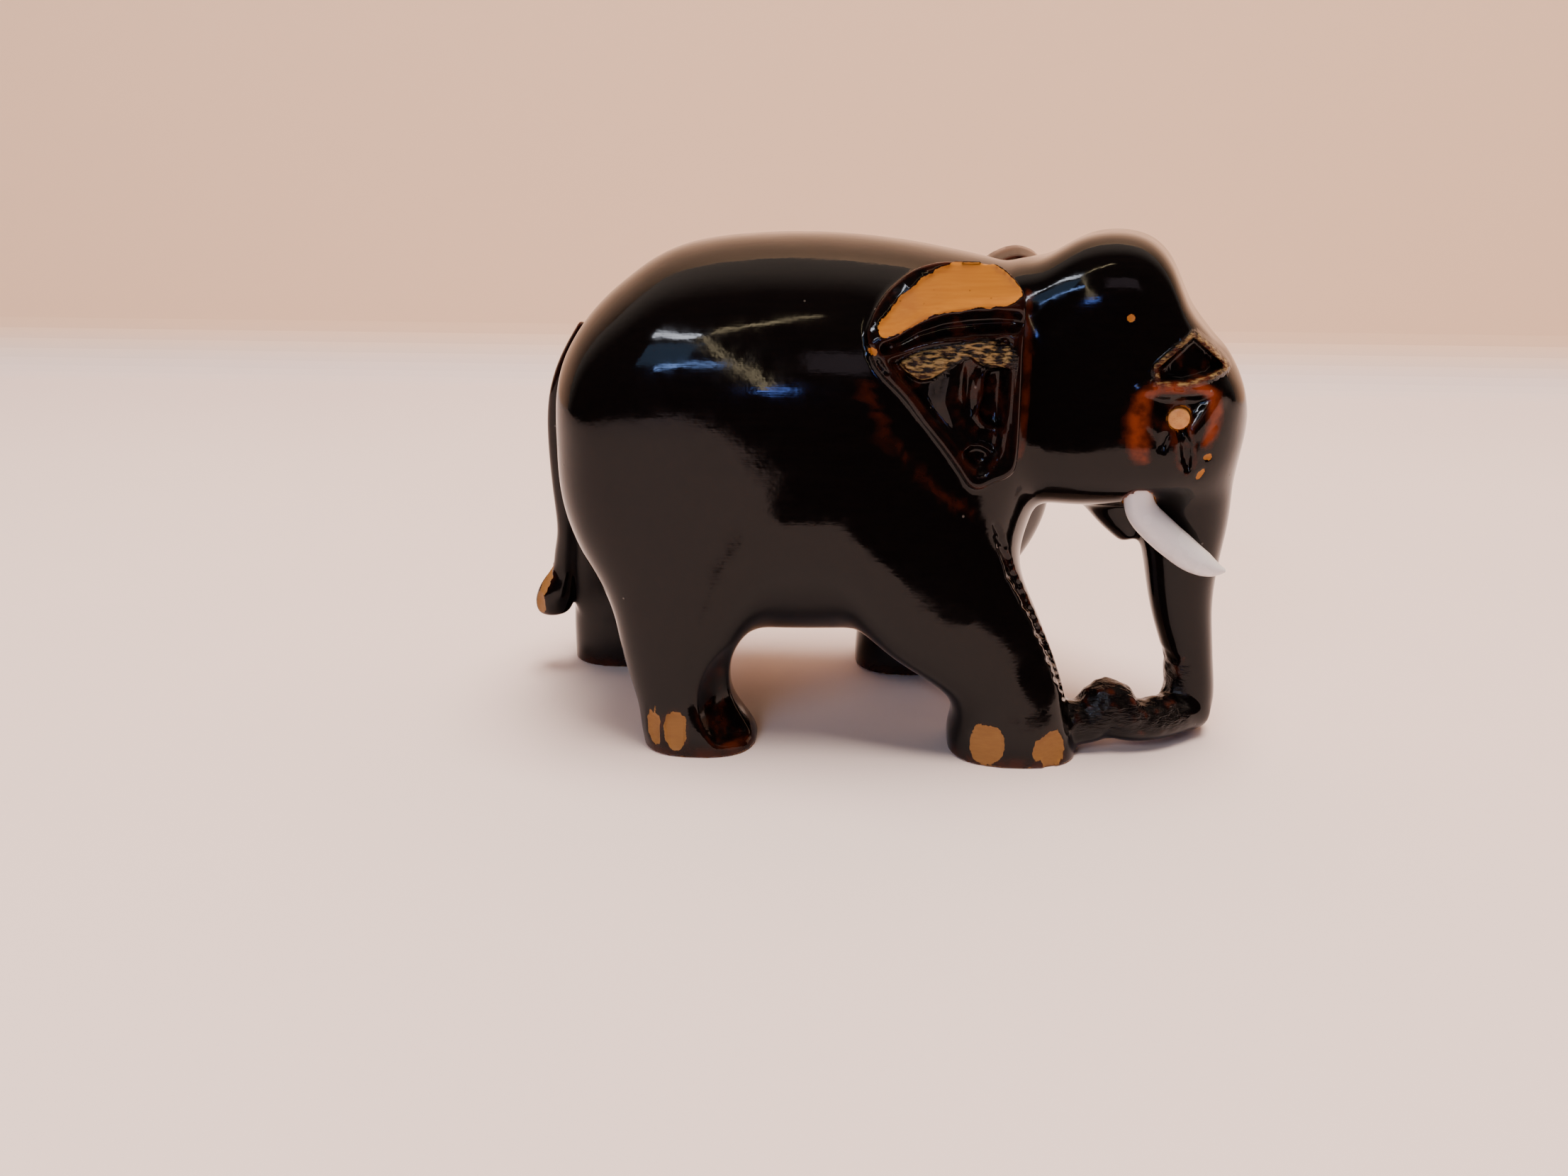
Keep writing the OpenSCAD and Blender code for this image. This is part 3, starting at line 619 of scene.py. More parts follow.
def knife_bites(field):
    """Cutters strung along the front edge of the right foreleg, as one plain mesh."""
    away = np.array([0.92, -0.39, 0])
    points = []
    for x, z in NOTCH_PATH:
        steps = np.array([x, -16.5, z]) + away * np.arange(5, -9, -0.05)[:, None]
        points.append(steps[np.argmax(look_up(field, steps) < 0)])
    points = np.array(points)
    string = new_mesh("notches", to_metres(points), [], [(i, i + 1) for i in range(len(points) - 1)])
    # Each stroke lies on the surface and runs down it at half a right angle
    normal = slope(field, points, 2.5)
    level = np.stack([-normal[:, 1], normal[:, 0], 0 * normal[:, 2]], axis=1)
    level /= np.linalg.norm(level, axis=1, keepdims=True)
    stroke = level - np.array([0, 0, 1]) * (1.25 * level[:, :1] + 0.05)
    string.data.attributes.new("stroke", "FLOAT_VECTOR", "POINT").data.foreach_set("vector", stroke.ravel())
    tree, given = node_tree("knife_bites", [
        ("Cuts", "NodeSocketInt", 19), ("Length", "NodeSocketFloat", 0.0044),
        ("Width", "NodeSocketFloat", 0.0009), ("Seed", "NodeSocketInt", 8)])
    path = add_node(tree, "GeometryNodeMeshToCurve", {0: given["Geometry"]}).outputs[0]
    path = add_node(tree, "GeometryNodeResampleCurve", {"Curve": path, "Count": given["Cuts"]}).outputs[0]
    half_l = sums(tree, "MULTIPLY", given["Length"], 0.5)
    half_w = sums(tree, "MULTIPLY", given["Width"], 0.5)
    size = add_node(tree, "ShaderNodeCombineXYZ", {0: half_l, 1: half_w, 2: half_w}).outputs[0]
    blade = add_node(tree, "GeometryNodeMeshIcoSphere", {"Radius": 1.0, "Subdivisions": 3}).outputs["Mesh"]
    blade = add_node(tree, "GeometryNodeTransform", {"Geometry": blade, "Scale": size}).outputs[0]
    stroke = add_node(
        tree, "GeometryNodeInputNamedAttribute", {"Name": "stroke"}, data_type="FLOAT_VECTOR").outputs[0]
    lie = add_node(tree, "FunctionNodeAlignRotationToVector", {"Vector": stroke}, axis="X").outputs[0]
    sway = add_node(tree, "FunctionNodeRandomValue", {
        0: (-0.1, -0.12, -0.12), 1: (0.1, 0.12, 0.12), "Seed": given["Seed"]},
        data_type="FLOAT_VECTOR").outputs[0]
    lie = add_node(tree, "FunctionNodeRotateRotation", {0: lie, 1: sway}).outputs[0]
    scale = add_node(tree, "FunctionNodeRandomValue", {
        2: 0.8, 3: 1.15, "Seed": given["Seed"]}, data_type="FLOAT").outputs[1]
    made = add_node(tree, "GeometryNodeInstanceOnPoints", {
        "Points": path, "Instance": blade, "Rotation": lie, "Scale": scale}).outputs[0]
    made = add_node(tree, "GeometryNodeRealizeInstances", {0: made}).outputs[0]
    finish_nodes(tree, made, None)
    run_nodes(string, tree)
    shape = shape_of(string)
    bpy.data.objects.remove(string)
    return shape


def cut_nail(field, lacquered, foot_x, side, forward, height, half_w, half_h, depth, seed):
    """One toenail: a flat cut on the outside of a foot."""
    start = (foot_x + forward, side * 25.0, height)
    chip(field, lacquered, start, (0, -side, 0), half_w, half_h, depth, seed)


def look_up(field, points):
    """The field at any points, in millimetres."""
    q = np.clip(points / VOXEL - CORNER, 0, COUNT - 1.001)
    i = np.floor(q).astype(int)
    f = q - i
    total = 0
    for a in (0, 1):
        for b in (0, 1):
            for c in (0, 1):
                w = (f[:, 0] if a else 1 - f[:, 0]) * (f[:, 1] if b else 1 - f[:, 1])
                w = w * (f[:, 2] if c else 1 - f[:, 2])
                total = total + w * field[i[:, 0] + a, i[:, 1] + b, i[:, 2] + c]
    return total


def slope(field, points, reach=1.0):
    """The direction in which the field rises fastest, not yet of unit length."""
    out = []
    for k in range(3):
        step = np.zeros(3)
        step[k] = VOXEL * reach
        out.append((look_up(field, points + step) - look_up(field, points - step)) / (2 * VOXEL * reach))
    return np.stack(out, axis=1)


def notch_foreleg(field):
    """Short slanting knife cuts down the front edge of the right foreleg."""
    take_out(field, knife_bites(field), 0)


def scoop_hind_leg(field, side, foot_x):
    """The hollow facet on the lower front of a hind leg, with a sharp ridge behind it."""
    ys = (-24, -8) if side < 0 else (8, 24)
    block = Block((foot_x - 8, ys[0], 2), (foot_x + 12, ys[1], 24))
    out = side * block.y
    # The tool is a leaning barrel whose surface passes just inside the front outer corner
    lean = (block.z - 11) * 0.10
    radius = np.hypot(block.x - (foot_x + 11.0 + lean), out - 24.5)
    tool = radius - (11.2 - 0.06 * (block.z - 9) ** 2)
    field[block.cut] = scoop(field[block.cut], tool, 0.35)


def carve_body(inserts):
    """The field of the finished block, and of the block before the bare-wood cuts."""
    field = np.full(tuple(COUNT), FAR, np.float32)
    add(field, torso(), 4)
    for shape in legs():
        add(field, shape, 4)
    add(field, head(), 2.6)
    add(field, trunk(), 3)
    add(field, lower_lip(), 1.4)
    soften(field, 3)
    whole = Block(CORNER * VOXEL, (CORNER + COUNT) * VOXEL)
    field += 0.045 * waves(whole, 8.0, 3) + 0.009 * waves(whole, 2.4, 4)
    add(field, tail(), 0.4)
    add(field, tuft_root(), 0.8)
    add(field, bridge(), 1.2)
    for side in (RIGHT, LEFT):
        add(field, ear(side), 0.5)
    soften(field, 1)
    smooth_skin = field.copy()
    # The bridge is left lumpy from the knife, more so than the smooth legs beside it
    near = Block((24, -22, 0), (46, 0, 12))
    lumps = 0.13 * waves(near, 1.5, 12) + 0.10 * waves(near, 0.7, 13)
    field[near.cut] += lumps * ease(
        near.x + 0 * near.z + 0 * near.y, 25, 28) * (1 - ease(near.x, 41, 44)) * ease(near.z, 1.5, 4)
    scoop_hind_leg(field, RIGHT, HIND_X)
    scoop_hind_leg(field, LEFT, LEFT_HIND_X)
    notch_foreleg(field)
    ears = {side: carve_ear(field, side) for side in (RIGHT, LEFT)}
    for side in (RIGHT, LEFT):
        carve_eye(field, side)
    lacquered = field.copy()
    for side in (RIGHT, LEFT):
        bevel_ear(field, *ears[side], side)
        bare_chips(field, side)
    for i, nail in enumerate(NAILS):
        cut_nail(field, lacquered, *nail, seed=40 + 2 * i)
    # The bare strip down the outer edge of the tuft, in two cuts
    chip(field, lacquered, (-58, 2.5, 15.0), (.93, .37, 0), .8, 2.7, .40, 71)
    chip(field, lacquered, (-58, 2.5, 11.2), (.93, .37, 0), .9, 2.6, .40, 72)
    for shape in inserts:
        take_out(field, shape, GLUE_GAP + 0.03)
    field[:] = np.maximum(field, -whole.z + 0 * whole.x)
    return field, lacquered, smooth_skin


# ---- Meshes ------------------------------------------------------------------------------------

def to_metres(points):
    """From the carver's millimetres to the part's metres."""
    p = np.array(points, float)
    p[..., 0] += SHIFT_X
    return p * 0.001


def new_mesh(name, points, faces, edges=()):
    """A new object in the scene, at the origin, with the given mesh."""
    mesh = bpy.data.meshes.new(name)
    mesh.from_pydata([tuple(p) for p in points], list(edges), [list(f) for f in faces])
    mesh.update()
    piece = bpy.data.objects.new(name, mesh)
    bpy.context.scene.collection.objects.link(piece)
    return piece


def plain_copy(piece):
    """The piece with its modifiers turned into plain mesh, and the modifiers gone."""
    graph = bpy.context.evaluated_depsgraph_get()
    mesh = bpy.data.meshes.new_from_object(piece.evaluated_get(graph))
    old = piece.data
    piece.modifiers.clear()
    piece.data = mesh
    bpy.data.meshes.remove(old)
    mesh.name = piece.name


def node_tree(name, inputs):
    """A geometry tree with the given named inputs; returns it and its input sockets by name."""
    tree = bpy.data.node_groups.new(name, "GeometryNodeTree")
    tree.interface.new_socket("Geometry", in_out="INPUT", socket_type="NodeSocketGeometry")
    for label, kind, value in inputs:
        tree.interface.new_socket(label, in_out="INPUT", socket_type=kind).default_value = value
    tree.interface.new_socket("Geometry", in_out="OUTPUT", socket_type="NodeSocketGeometry")
    start = tree.nodes.new("NodeGroupInput")
    return tree, {socket.name: socket for socket in start.outputs if socket.name}


def run_nodes(piece, tree):
    """Runs the tree on the piece with its inputs as they stand, and keeps the plain mesh."""
    step = piece.modifiers.new("nodes", "NODES")
    step.node_group = tree
    for item in tree.interface.items_tree:
        if item.in_out == "INPUT" and item.socket_type != "NodeSocketGeometry":
            step[item.identifier] = item.default_value
    plain_copy(piece)


def add_curve(tree, value, points):
    """A smooth curve from 0…1 to 0…1 through the points."""
    node = add_node(tree, "ShaderNodeFloatCurve", {"Value": value})
    curve = node.mapping.curves[0]
    for i, (x, y) in enumerate(points):
        if i < 2:
            curve.points[i].location = (x, y)
        else:
            curve.points.new(x, y)
    node.mapping.update()
    return node.outputs[0]


def finish_nodes(tree, made, material):
    """Ends a geometry tree, with the material set where there is one."""
    if material:
        made = add_node(tree, "GeometryNodeSetMaterial", {"Geometry": made, "Material": material}).outputs[0]
    add_node(tree, "NodeGroupOutput", {0: made})


def points_of(mesh):
    """The mesh's vertices as an array."""
    co = np.zeros(len(mesh.vertices) * 3, np.float32)
    mesh.vertices.foreach_get("co", co)
    return co.reshape(-1, 3).astype(float)


def shape_of(piece):
    """The piece's points in the carver's millimetres, and its triangles."""
    p = points_of(piece.data) * 1000
    p[:, 0] -= SHIFT_X
    piece.data.calc_loop_triangles()
    return p, np.array([t.vertices for t in piece.data.loop_triangles])


def body_piece(inserts):
    """The carved block as a mesh that lies on the field, with its marks for the finish."""
    field, lacquered, smooth_skin = carve_body(inserts)
    grid = openvdb.FloatGrid(background=FAR)
    grid.transform = TRANSFORM
    grid.gridClass = openvdb.GridClass.LEVEL_SET
    grid.copyFromArray(field.astype(np.float32), ijk=tuple(int(v) for v in CORNER), tolerance=0)
    points, quads = grid.convertToQuads()
    piece = new_mesh("carved_elephant", to_metres(points), quads[:, ::-1])
    thin = piece.modifiers.new("thin", "DECIMATE")
    thin.ratio = min(1.0, MOST_TRIANGLES / (2 * len(quads)))
    plain_copy(piece)
    outwards(piece)
    mesh = piece.data
    p = points_of(mesh) * 1000
    p[:, 0] -= SHIFT_X
    for _ in range(3):
        d = look_up(field, p)
        g = slope(field, p, 0.5)
        step = d / np.maximum((g * g).sum(1), 0.25)
        p -= g * np.clip(step, -0.2, 0.2)[:, None]
    mesh.vertices.foreach_set("co", to_metres(p).astype(np.float32).ravel())
    n = slope(field, p, 1.0)
    n /= np.linalg.norm(n, axis=1, keepdims=True)
    mesh.shade_smooth()
    mesh.normals_split_custom_set_from_vertices(n.tolist())
    marks = {
        "bare": np.clip(-look_up(lacquered, p), 0, 1),
        "carved": np.clip(-look_up(smooth_skin, p), -1, 2),
        "rubbed": rubbed(p, field),
        "ridges_and_glints": ridges_and_glints(p),
    }
    for name, values in marks.items():
        mesh.attributes.new(name, "FLOAT", "POINT").data.foreach_set("value", values.astype(np.float32))
    return piece


# Lines where the finish is worn: (x, z, half width); the one round an eye is open below
BEHIND_EAR = [(-2.5, 49.9, .5), (-.9, 47, .5), (1.6, 42.8, .6), (4.8, 38.6, .6), (7.9, 36.1, .6),
              (11.7, 33.7, .5)]
EAR_GROOVE = [(17.2, 60, .4), (17.4, 53, .6), (17.5, 47, .6), (17.4, 40.5, .5)]
HORSESHOE = [(-3.9, -4.9, .9), (-4.5, -2.4, 1.25), (-4.7, 0, 1.2), (-4.3, 2.4, .95), (-3.2, 3.7, .7),
             (-.6, 3.8, .62), (2.4, 3.7, .6), (3.8, 2.8, .7), (4.2, .6, .8), (4.1, -1.4, .75),
             (3.6, -3.0, .6)]


def rubbed(p, field):
    """How far the dark finish is worn to red-brown: round the eyes, on edges and at the soles."""
    hx, hy = unturn(p[:, 0], p[:, 1])
    u, v = hx - EYE_X, p[:, 2] - EYE_Z
    outer = ease(np.abs(hy), 4.5, 6.5)
    eye = (1 - ease(line_gap(HORSESHOE, u, v), 0.3, 1.5)) * outer
    mark = ease(-p[:, 1], 12, 14)
    behind = 0.14 * (1 - ease(line_gap(BEHIND_EAR, p[:, 0], p[:, 2]), 0.3, 1.1)) * mark
    groove = 0.26 * (1 - ease(line_gap(EAR_GROOVE, p[:, 0], p[:, 2]), 0.4, 1.1)) * mark
    far_ear = 0.9 * np.exp(-((p[:, 0] - 19.4) / 2.4) ** 2 - ((p[:, 2] - 62.2) / 1.1) ** 2)
    far_ear *= ease(p[:, 1], 14, 16)
    edge = np.zeros(len(p))
    for k in range(3):
        step = np.zeros(3)
        step[k] = 0.8
        edge += look_up(field, p + step) + look_up(field, p - step)
    in_ear = ease(np.abs(p[:, 1]), 17, 18) * ease(p[:, 2], 36, 38)
    edge = ease(edge, 0.35, 1.1) * (1 - 0.7 * in_ear)
    sole = (1 - ease(p[:, 2], 0.3, 2.2)) * 0.2
    return np.clip(np.maximum.reduce([eye, behind, groove, far_ear, 0.27 * edge, sole]), 0, 1)


def ridges_and_glints(p):
    """Where the knife left small ridges: the lip in each ear, the brow rims and the top of the bridge; on the
    lips and brows it also places painted gold glints.
    """
    out = np.zeros(len(p))
    for side in (RIGHT, LEFT):
        u = p[:, 0] - ear_root(side) + ear_root(RIGHT)
        gap = outline_gap(smooth_outline(EAR_LIP, 4), u, p[:, 2])
        out = np.maximum(out, ease(-gap, -0.2, 0.4) * ease(side * p[:, 1], 16.5, 17.5))
    hx, hy = unturn(p[:, 0], p[:, 1])
    # The brow rims: knife ridges and, at this share, some painted gold glints
    brow = np.abs(outline_gap(BROW_CUT, hx - EYE_X, p[:, 2] - EYE_Z) - 0.35)
    out = np.maximum(out, 0.8 * (1 - ease(brow, 0.2, 0.6)) * ease(np.abs(hy), 4.5, 6.5))
    bridge_top = ease(p[:, 0], 25.5, 28) * (1 - ease(p[:, 0], 41, 44))
    bridge_top = bridge_top * ease(p[:, 2], 2.5, 4) * (1 - ease(p[:, 2], 10, 12))
    return np.maximum(out, 0.35 * bridge_top * ease(-p[:, 1], 2, 4))


# A tusk from its root to its tip, seen from the side: (forward, height, half thickness)
TUSK_PATH = [(35.45, 36.0, 1.80), (35.6, 34.6, 1.84), (36.2, 32.9, 1.97), (37.3, 31.65, 2.05),
             (38.47, 30.62, 2.08), (40.02, 29.36, 2.06), (41.24, 28.47, 2.02), (42.46, 27.59, 1.92),
             (43.81, 26.86, 1.72), (44.75, 26.43, 1.45), (45.68, 26.14, 1.06), (46.5, 26.02, .62),
             (47.1, 26.02, .22)]


def tusk_piece(name, side, material):
    """A tusk with its tenon, swept by a tree whose inputs are its reach, drop and thickness."""
    s = smooth_curve(TUSK_PATH, 0.5) / 1000
    run = np.concatenate([[0], np.cumsum(np.linalg.norm(np.diff(s[:, :2], axis=0), axis=1))])
    run /= run[-1]
    low, high = s.min(0), s.max(0)
    share = (s - low) / (high - low)
    pick = np.linspace(0, len(s) - 1, 14).round().astype(int)
    out = side * (TUSK_SPACE + TUSK_D) / 2000
    piece = new_mesh(name, [(0, 0, 0)], [])
    tree, given = node_tree("tusk_sweep", [
        ("Reach", "NodeSocketFloat", high[0] - low[0]), ("Drop", "NodeSocketFloat", high[1] - low[1]),
        ("Half Thickness", "NodeSocketFloat", high[2]), ("Tenon Length", "NodeSocketFloat", TENON_L / 1000),
        ("Rings", "NodeSocketInt", 72), ("Sides", "NodeSocketInt", 40)])
    line = add_node(tree, "GeometryNodeMeshLine", {"Count": given["Rings"]}).outputs[0]
    index = add_node(tree, "GeometryNodeInputIndex").outputs[0]
    t = sums(tree, "DIVIDE", index, sums(tree, "SUBTRACT", given["Rings"], 1.0))
    forward = add_curve(tree, t, [(run[i], share[i, 0]) for i in pick])
    forward = sums(tree, "MULTIPLY", forward, given["Reach"])
    height = add_curve(tree, t, [(run[i], share[i, 1]) for i in pick])
    height = sums(tree, "MULTIPLY", height, given["Drop"])
    full = add_curve(tree, t, [(run[i], s[i, 2] / high[2]) for i in pick])
    radius = sums(tree, "MULTIPLY", full, given["Half Thickness"])
    place = add_node(tree, "ShaderNodeCombineXYZ", {0: forward, 2: height}).outputs[0]
    line = add_node(tree, "GeometryNodeSetPosition", {"Geometry": line, "Position": place}).outputs[0]
    path = add_node(tree, "GeometryNodeMeshToCurve", {0: line}).outputs[0]
    path = add_node(tree, "GeometryNodeSetCurveRadius", {"Curve": path, "Radius": radius}).outputs[0]
    ring = add_node(tree, "GeometryNodeCurvePrimitiveCircle", {
        "Resolution": given["Sides"], "Radius": 1.0}).outputs[0]
    sweep = add_node(tree, "GeometryNodeCurveToMesh", {
        "Curve": path, "Profile Curve": ring, "Scale": radius, "Fill Caps": True}).outputs[0]
    # The tenon leans back a little from the root
    lean = math.radians(-14)
    mid = TENON_L / 2000 - 0.0002
    root = (0.035685 - low[0] + math.sin(lean) * mid, 0, 0.0348 - low[1] + math.cos(lean) * mid)
    tenon = add_node(tree, "GeometryNodeMeshCylinder", {
        "Vertices": given["Sides"], "Radius": TENON_D / 2000, "Depth": given["Tenon Length"]}).outputs[0]
    tenon = add_node(tree, "GeometryNodeTransform", {
        "Geometry": tenon, "Translation": root, "Rotation": (0, lean, 0)}).outputs[0]
    made = add_node(tree, "GeometryNodeMeshBoolean", operation="UNION", solver="EXACT")
    tree.links.new(sweep, made.inputs["Mesh 2"])
    tree.links.new(tenon, made.inputs["Mesh 2"])
    # Out to its side of the straight head, and round with the turned head
    made = add_node(tree, "GeometryNodeTransform", {
        "Geometry": made.outputs[0], "Translation": (low[0] - NECK_X / 1000, out, low[1])}).outputs[0]
    made = add_node(tree, "GeometryNodeTransform", {
        "Geometry": made, "Translation": ((NECK_X + SHIFT_X) / 1000, 0, 0),
        "Rotation": (0, 0, math.radians(-HEAD_TURN))}).outputs[0]
    finish_nodes(tree, made, material)
    run_nodes(piece, tree)
    outwards(piece)
    piece.data.shade_smooth()
    return piece


def eye_piece(name, side, material):
    """A peg whose face is slightly domed; a ring is (radius, depth behind the face)."""
    a = 2 * np.pi * np.arange(48) / 48
    rings = []
    for r, depth in [(1.1, EYE_PEG_L), (1.28, EYE_PEG_L - 0.2), (1.28, 0.16), (1.24, 0.07),
                     (1.15, 0.02), (0.9, -0.03), (0.5, -0.06), (0.2, -0.07)]:
        y = side * (eye_face() - depth)
        rings.append(np.stack([EYE_X + r * np.cos(a), np.full(48, y), EYE_Z + r * np.sin(a)], axis=1))
    points, faces = skin(np.array(rings))
    piece = new_mesh(name, to_metres(turn(points)), faces)
    outwards(piece)
    piece.data.shade_smooth()
    piece.data.materials.append(material)
    return piece


def outwards(piece):
    """Makes every face point out of the piece."""
    mesh = piece.data
    p = points_of(mesh)
    mesh.calc_loop_triangles()
    t = np.array([tri.vertices for tri in mesh.loop_triangles])
    volume = np.einsum("ij,ij->i", p[t[:, 0]], np.cross(p[t[:, 1]], p[t[:, 2]])).sum()
    if volume < 0:
        mesh.flip_normals()


# ---- Finishes ----------------------------------------------------------------------------------

def linear(code, alpha=1.0):
    """An sRGB hex colour as linear values."""
    v = [int(code[i:i + 2], 16) / 255 for i in (1, 3, 5)]
    return tuple(c / 12.92 if c <= 0.04045 else ((c + 0.055) / 1.055) ** 2.4 for c in v) + (alpha,)


def add_node(tree, kind, inputs=None, **settings):
    """Adds a node; an input given as a socket is linked, and any other value is set."""
    node = tree.nodes.new(kind)
    for key, value in settings.items():
        setattr(node, key, value)
    for key, value in (inputs or {}).items():
        if isinstance(value, bpy.types.NodeSocket):
            tree.links.new(value, node.inputs[key])
        else:
            node.inputs[key].default_value = value
    return node


def new_material(name):
    """An empty material and its tree."""
    material = bpy.data.materials.new(name)
    material.use_nodes = True
    material.node_tree.nodes.clear()
    return material, material.node_tree


def finish_with(tree, inputs):
    """Ends a material's tree in one shader."""
    shader = add_node(tree, "ShaderNodeBsdfPrincipled", inputs)
    add_node(tree, "ShaderNodeOutputMaterial", {"Surface": shader.outputs[0]})


def between(tree, value, low, high, out_low=0.0, out_high=1.0):
    """Eases from out_low to out_high as the value goes from low to high."""
    return add_node(tree, "ShaderNodeMapRange", {
        "Value": value, "From Min": low, "From Max": high, "To Min": out_low, "To Max": out_high},
        interpolation_type="SMOOTHSTEP").outputs[0]


def sums(tree, operation, a, b):
    """One step of arithmetic."""
    return add_node(tree, "ShaderNodeMath", {0: a, 1: b}, operation=operation).outputs[0]


def blend_colour(tree, share, a, b):
    """Colour a where the share is 0 and b where it is 1."""
    return add_node(tree, "ShaderNodeMix", {0: share, 6: a, 7: b}, data_type="RGBA").outputs[2]


def lacquered_wood():
    """Close-grained wood, stained near black and brushed with glossy lacquer: it mirrors the room faintly,
    shows red-brown where the finish is thin, bare tan wood where it was cut, and painted gold glints on the
    small knife ridges."""
    material, tree = new_material("gloss_lacquer_on_stained_wood")
    place = add_node(tree, "ShaderNodeTexCoord").outputs["Object"]
    # Grain runs along the body: lines 0.35 mm apart, drawn out to about 6 mm
    along = add_node(tree, "ShaderNodeMapping", {"Vector": place, "Scale": (160, 2800, 2800)}).outputs[0]
    grain = add_node(tree, "ShaderNodeTexNoise", {"Vector": along, "Scale": 1, "Detail": 3}).outputs[0]
    # Patches of thin finish, about 2 mm across
    patches = add_node(tree, "ShaderNodeTexNoise", {"Vector": place, "Scale": 480, "Detail": 4}).outputs[0]
    ragged = add_node(tree, "ShaderNodeTexNoise", {"Vector": place, "Scale": 1900, "Detail": 3}).outputs[0]
    bare_mark = add_node(tree, "ShaderNodeAttribute", attribute_name="bare").outputs["Fac"]
    rub_mark = add_node(tree, "ShaderNodeAttribute", attribute_name="rubbed").outputs["Fac"]
    carved_mark = add_node(tree, "ShaderNodeAttribute", attribute_name="carved").outputs["Fac"]
    ridge_glint_mark = add_node(tree, "ShaderNodeAttribute", attribute_name="ridges_and_glints").outputs["Fac"]
    # The cut edge of the lacquer wanders by about 0.1 mm
    wander = sums(tree, "MULTIPLY", sums(tree, "SUBTRACT", ragged, 0.5), 0.12)
    bare = between(tree, sums(tree, "ADD", bare_mark, wander), 0.045, 0.075)
    thin = sums(tree, "MULTIPLY", rub_mark, between(tree, patches, 0.30, 0.62, 0.25, 1.0))
    in_cuts = sums(tree, "MULTIPLY", between(tree, carved_mark, 0.15, 0.8), between(tree, patches, 0.45, 0.7))
    thin = sums(tree, "MAXIMUM", thin, sums(tree, "MULTIPLY", in_cuts, 0.12))
    black = blend_colour(tree, grain, linear("#050405"), linear("#0D0908"))
    dark = blend_colour(tree, thin, black, linear("#7A3214"))
    wood = blend_colour(tree, grain, linear("#94571C"), linear("#AE7122"))
    # Pores left dark by the stain, about 0.2 mm across and sparse
    pores = add_node(tree, "ShaderNodeTexVoronoi", {"Vector": place, "Scale": 900}).outputs["Distance"]
    few = between(tree, patches, 0.52, 0.60)
    pore = sums(tree, "MULTIPLY", between(tree, pores, 0.10, 0.20, 1.0, 0.0), few)
    wood = blend_colour(tree, sums(tree, "MULTIPLY", pore, 0.75), wood, linear("#4A2A12"))
    # Low down, the bare wood is a duller, darker tan
    height = add_node(tree, "ShaderNodeSeparateXYZ", {"Vector": place}).outputs[2]
    dull = blend_colour(tree, grain, linear("#7E552C"), linear("#976A35"))
    wood = blend_colour(tree, between(tree, height, 0.020, 0.030), dull, wood)
    colour = blend_colour(tree, bare, dark, wood)
    streaks = add_node(tree, "ShaderNodeMapping", {"Vector": place, "Scale": (800, 1500, 2500)}).outputs[0]
    ridges = add_node(tree, "ShaderNodeTexNoise", {"Vector": streaks, "Scale": 1, "Detail": 4}).outputs[0]
    # Painted gold glints on the tops of the small knife ridges, standing in for the bright strips those
    # ridges mirror
    painted_glints = sums(tree, "MULTIPLY", between(tree, ridges, 0.42, 0.66),
                between(tree, ridge_glint_mark, 0.45, 1.0, 0.0, 0.8))
    colour = blend_colour(tree, sums(tree, "MULTIPLY", painted_glints, sums(tree, "SUBTRACT", 1.0, bare)),
                          colour, linear("#A68A58"))
    # Dust caught in the lacquer, specks 0.1 to 0.2 mm across
    dots = add_node(tree, "ShaderNodeTexVoronoi", {"Vector": place, "Scale": 420})
    sparse = between(tree, dots.outputs["Color"], 0.80, 0.82)
    speck = sums(tree, "MULTIPLY", between(tree, dots.outputs["Distance"], 0.05, 0.09, 1.0, 0.0), sparse)
    speck = sums(tree, "MULTIPLY", speck, sums(tree, "SUBTRACT", 1.0, bare))
    colour = blend_colour(tree, sums(tree, "MULTIPLY", speck, 0.35), colour, linear("#8A8078"))
    gloss = between(tree, patches, 0.3, 0.7, 0.06, 0.12)
    rough = add_node(tree, "ShaderNodeMix", {0: bare, 2: gloss, 3: 0.50}).outputs[0]
    rough = sums(tree, "ADD", rough, sums(tree, "MULTIPLY", speck, 0.3))
    # Brushed lacquer lies slightly uneven: swells of 1.5 mm and a finer skin
    swell = add_node(tree, "ShaderNodeTexNoise", {"Vector": place, "Scale": 650, "Detail": 2}).outputs[0]
    height = sums(tree, "ADD", sums(tree, "MULTIPLY", swell, 0.013), sums(tree, "MULTIPLY", grain, 0.004))
    height = sums(tree, "ADD", height, sums(tree, "MULTIPLY", speck, 0.02))
    # Ridges left by the knife, 0.4 mm apart
    knife = sums(tree, "MULTIPLY", ridges, ridge_glint_mark)
    height = sums(tree, "ADD", height, sums(tree, "MULTIPLY", knife, 0.8))
    bump = add_node(tree, "ShaderNodeBump", {"Height": height, "Distance": 0.001, "Strength": 1.0}).outputs[0]
    finish_with(tree, {"Base Color": colour, "Roughness": rough, "Normal": bump, "IOR": 1.31})
    return material


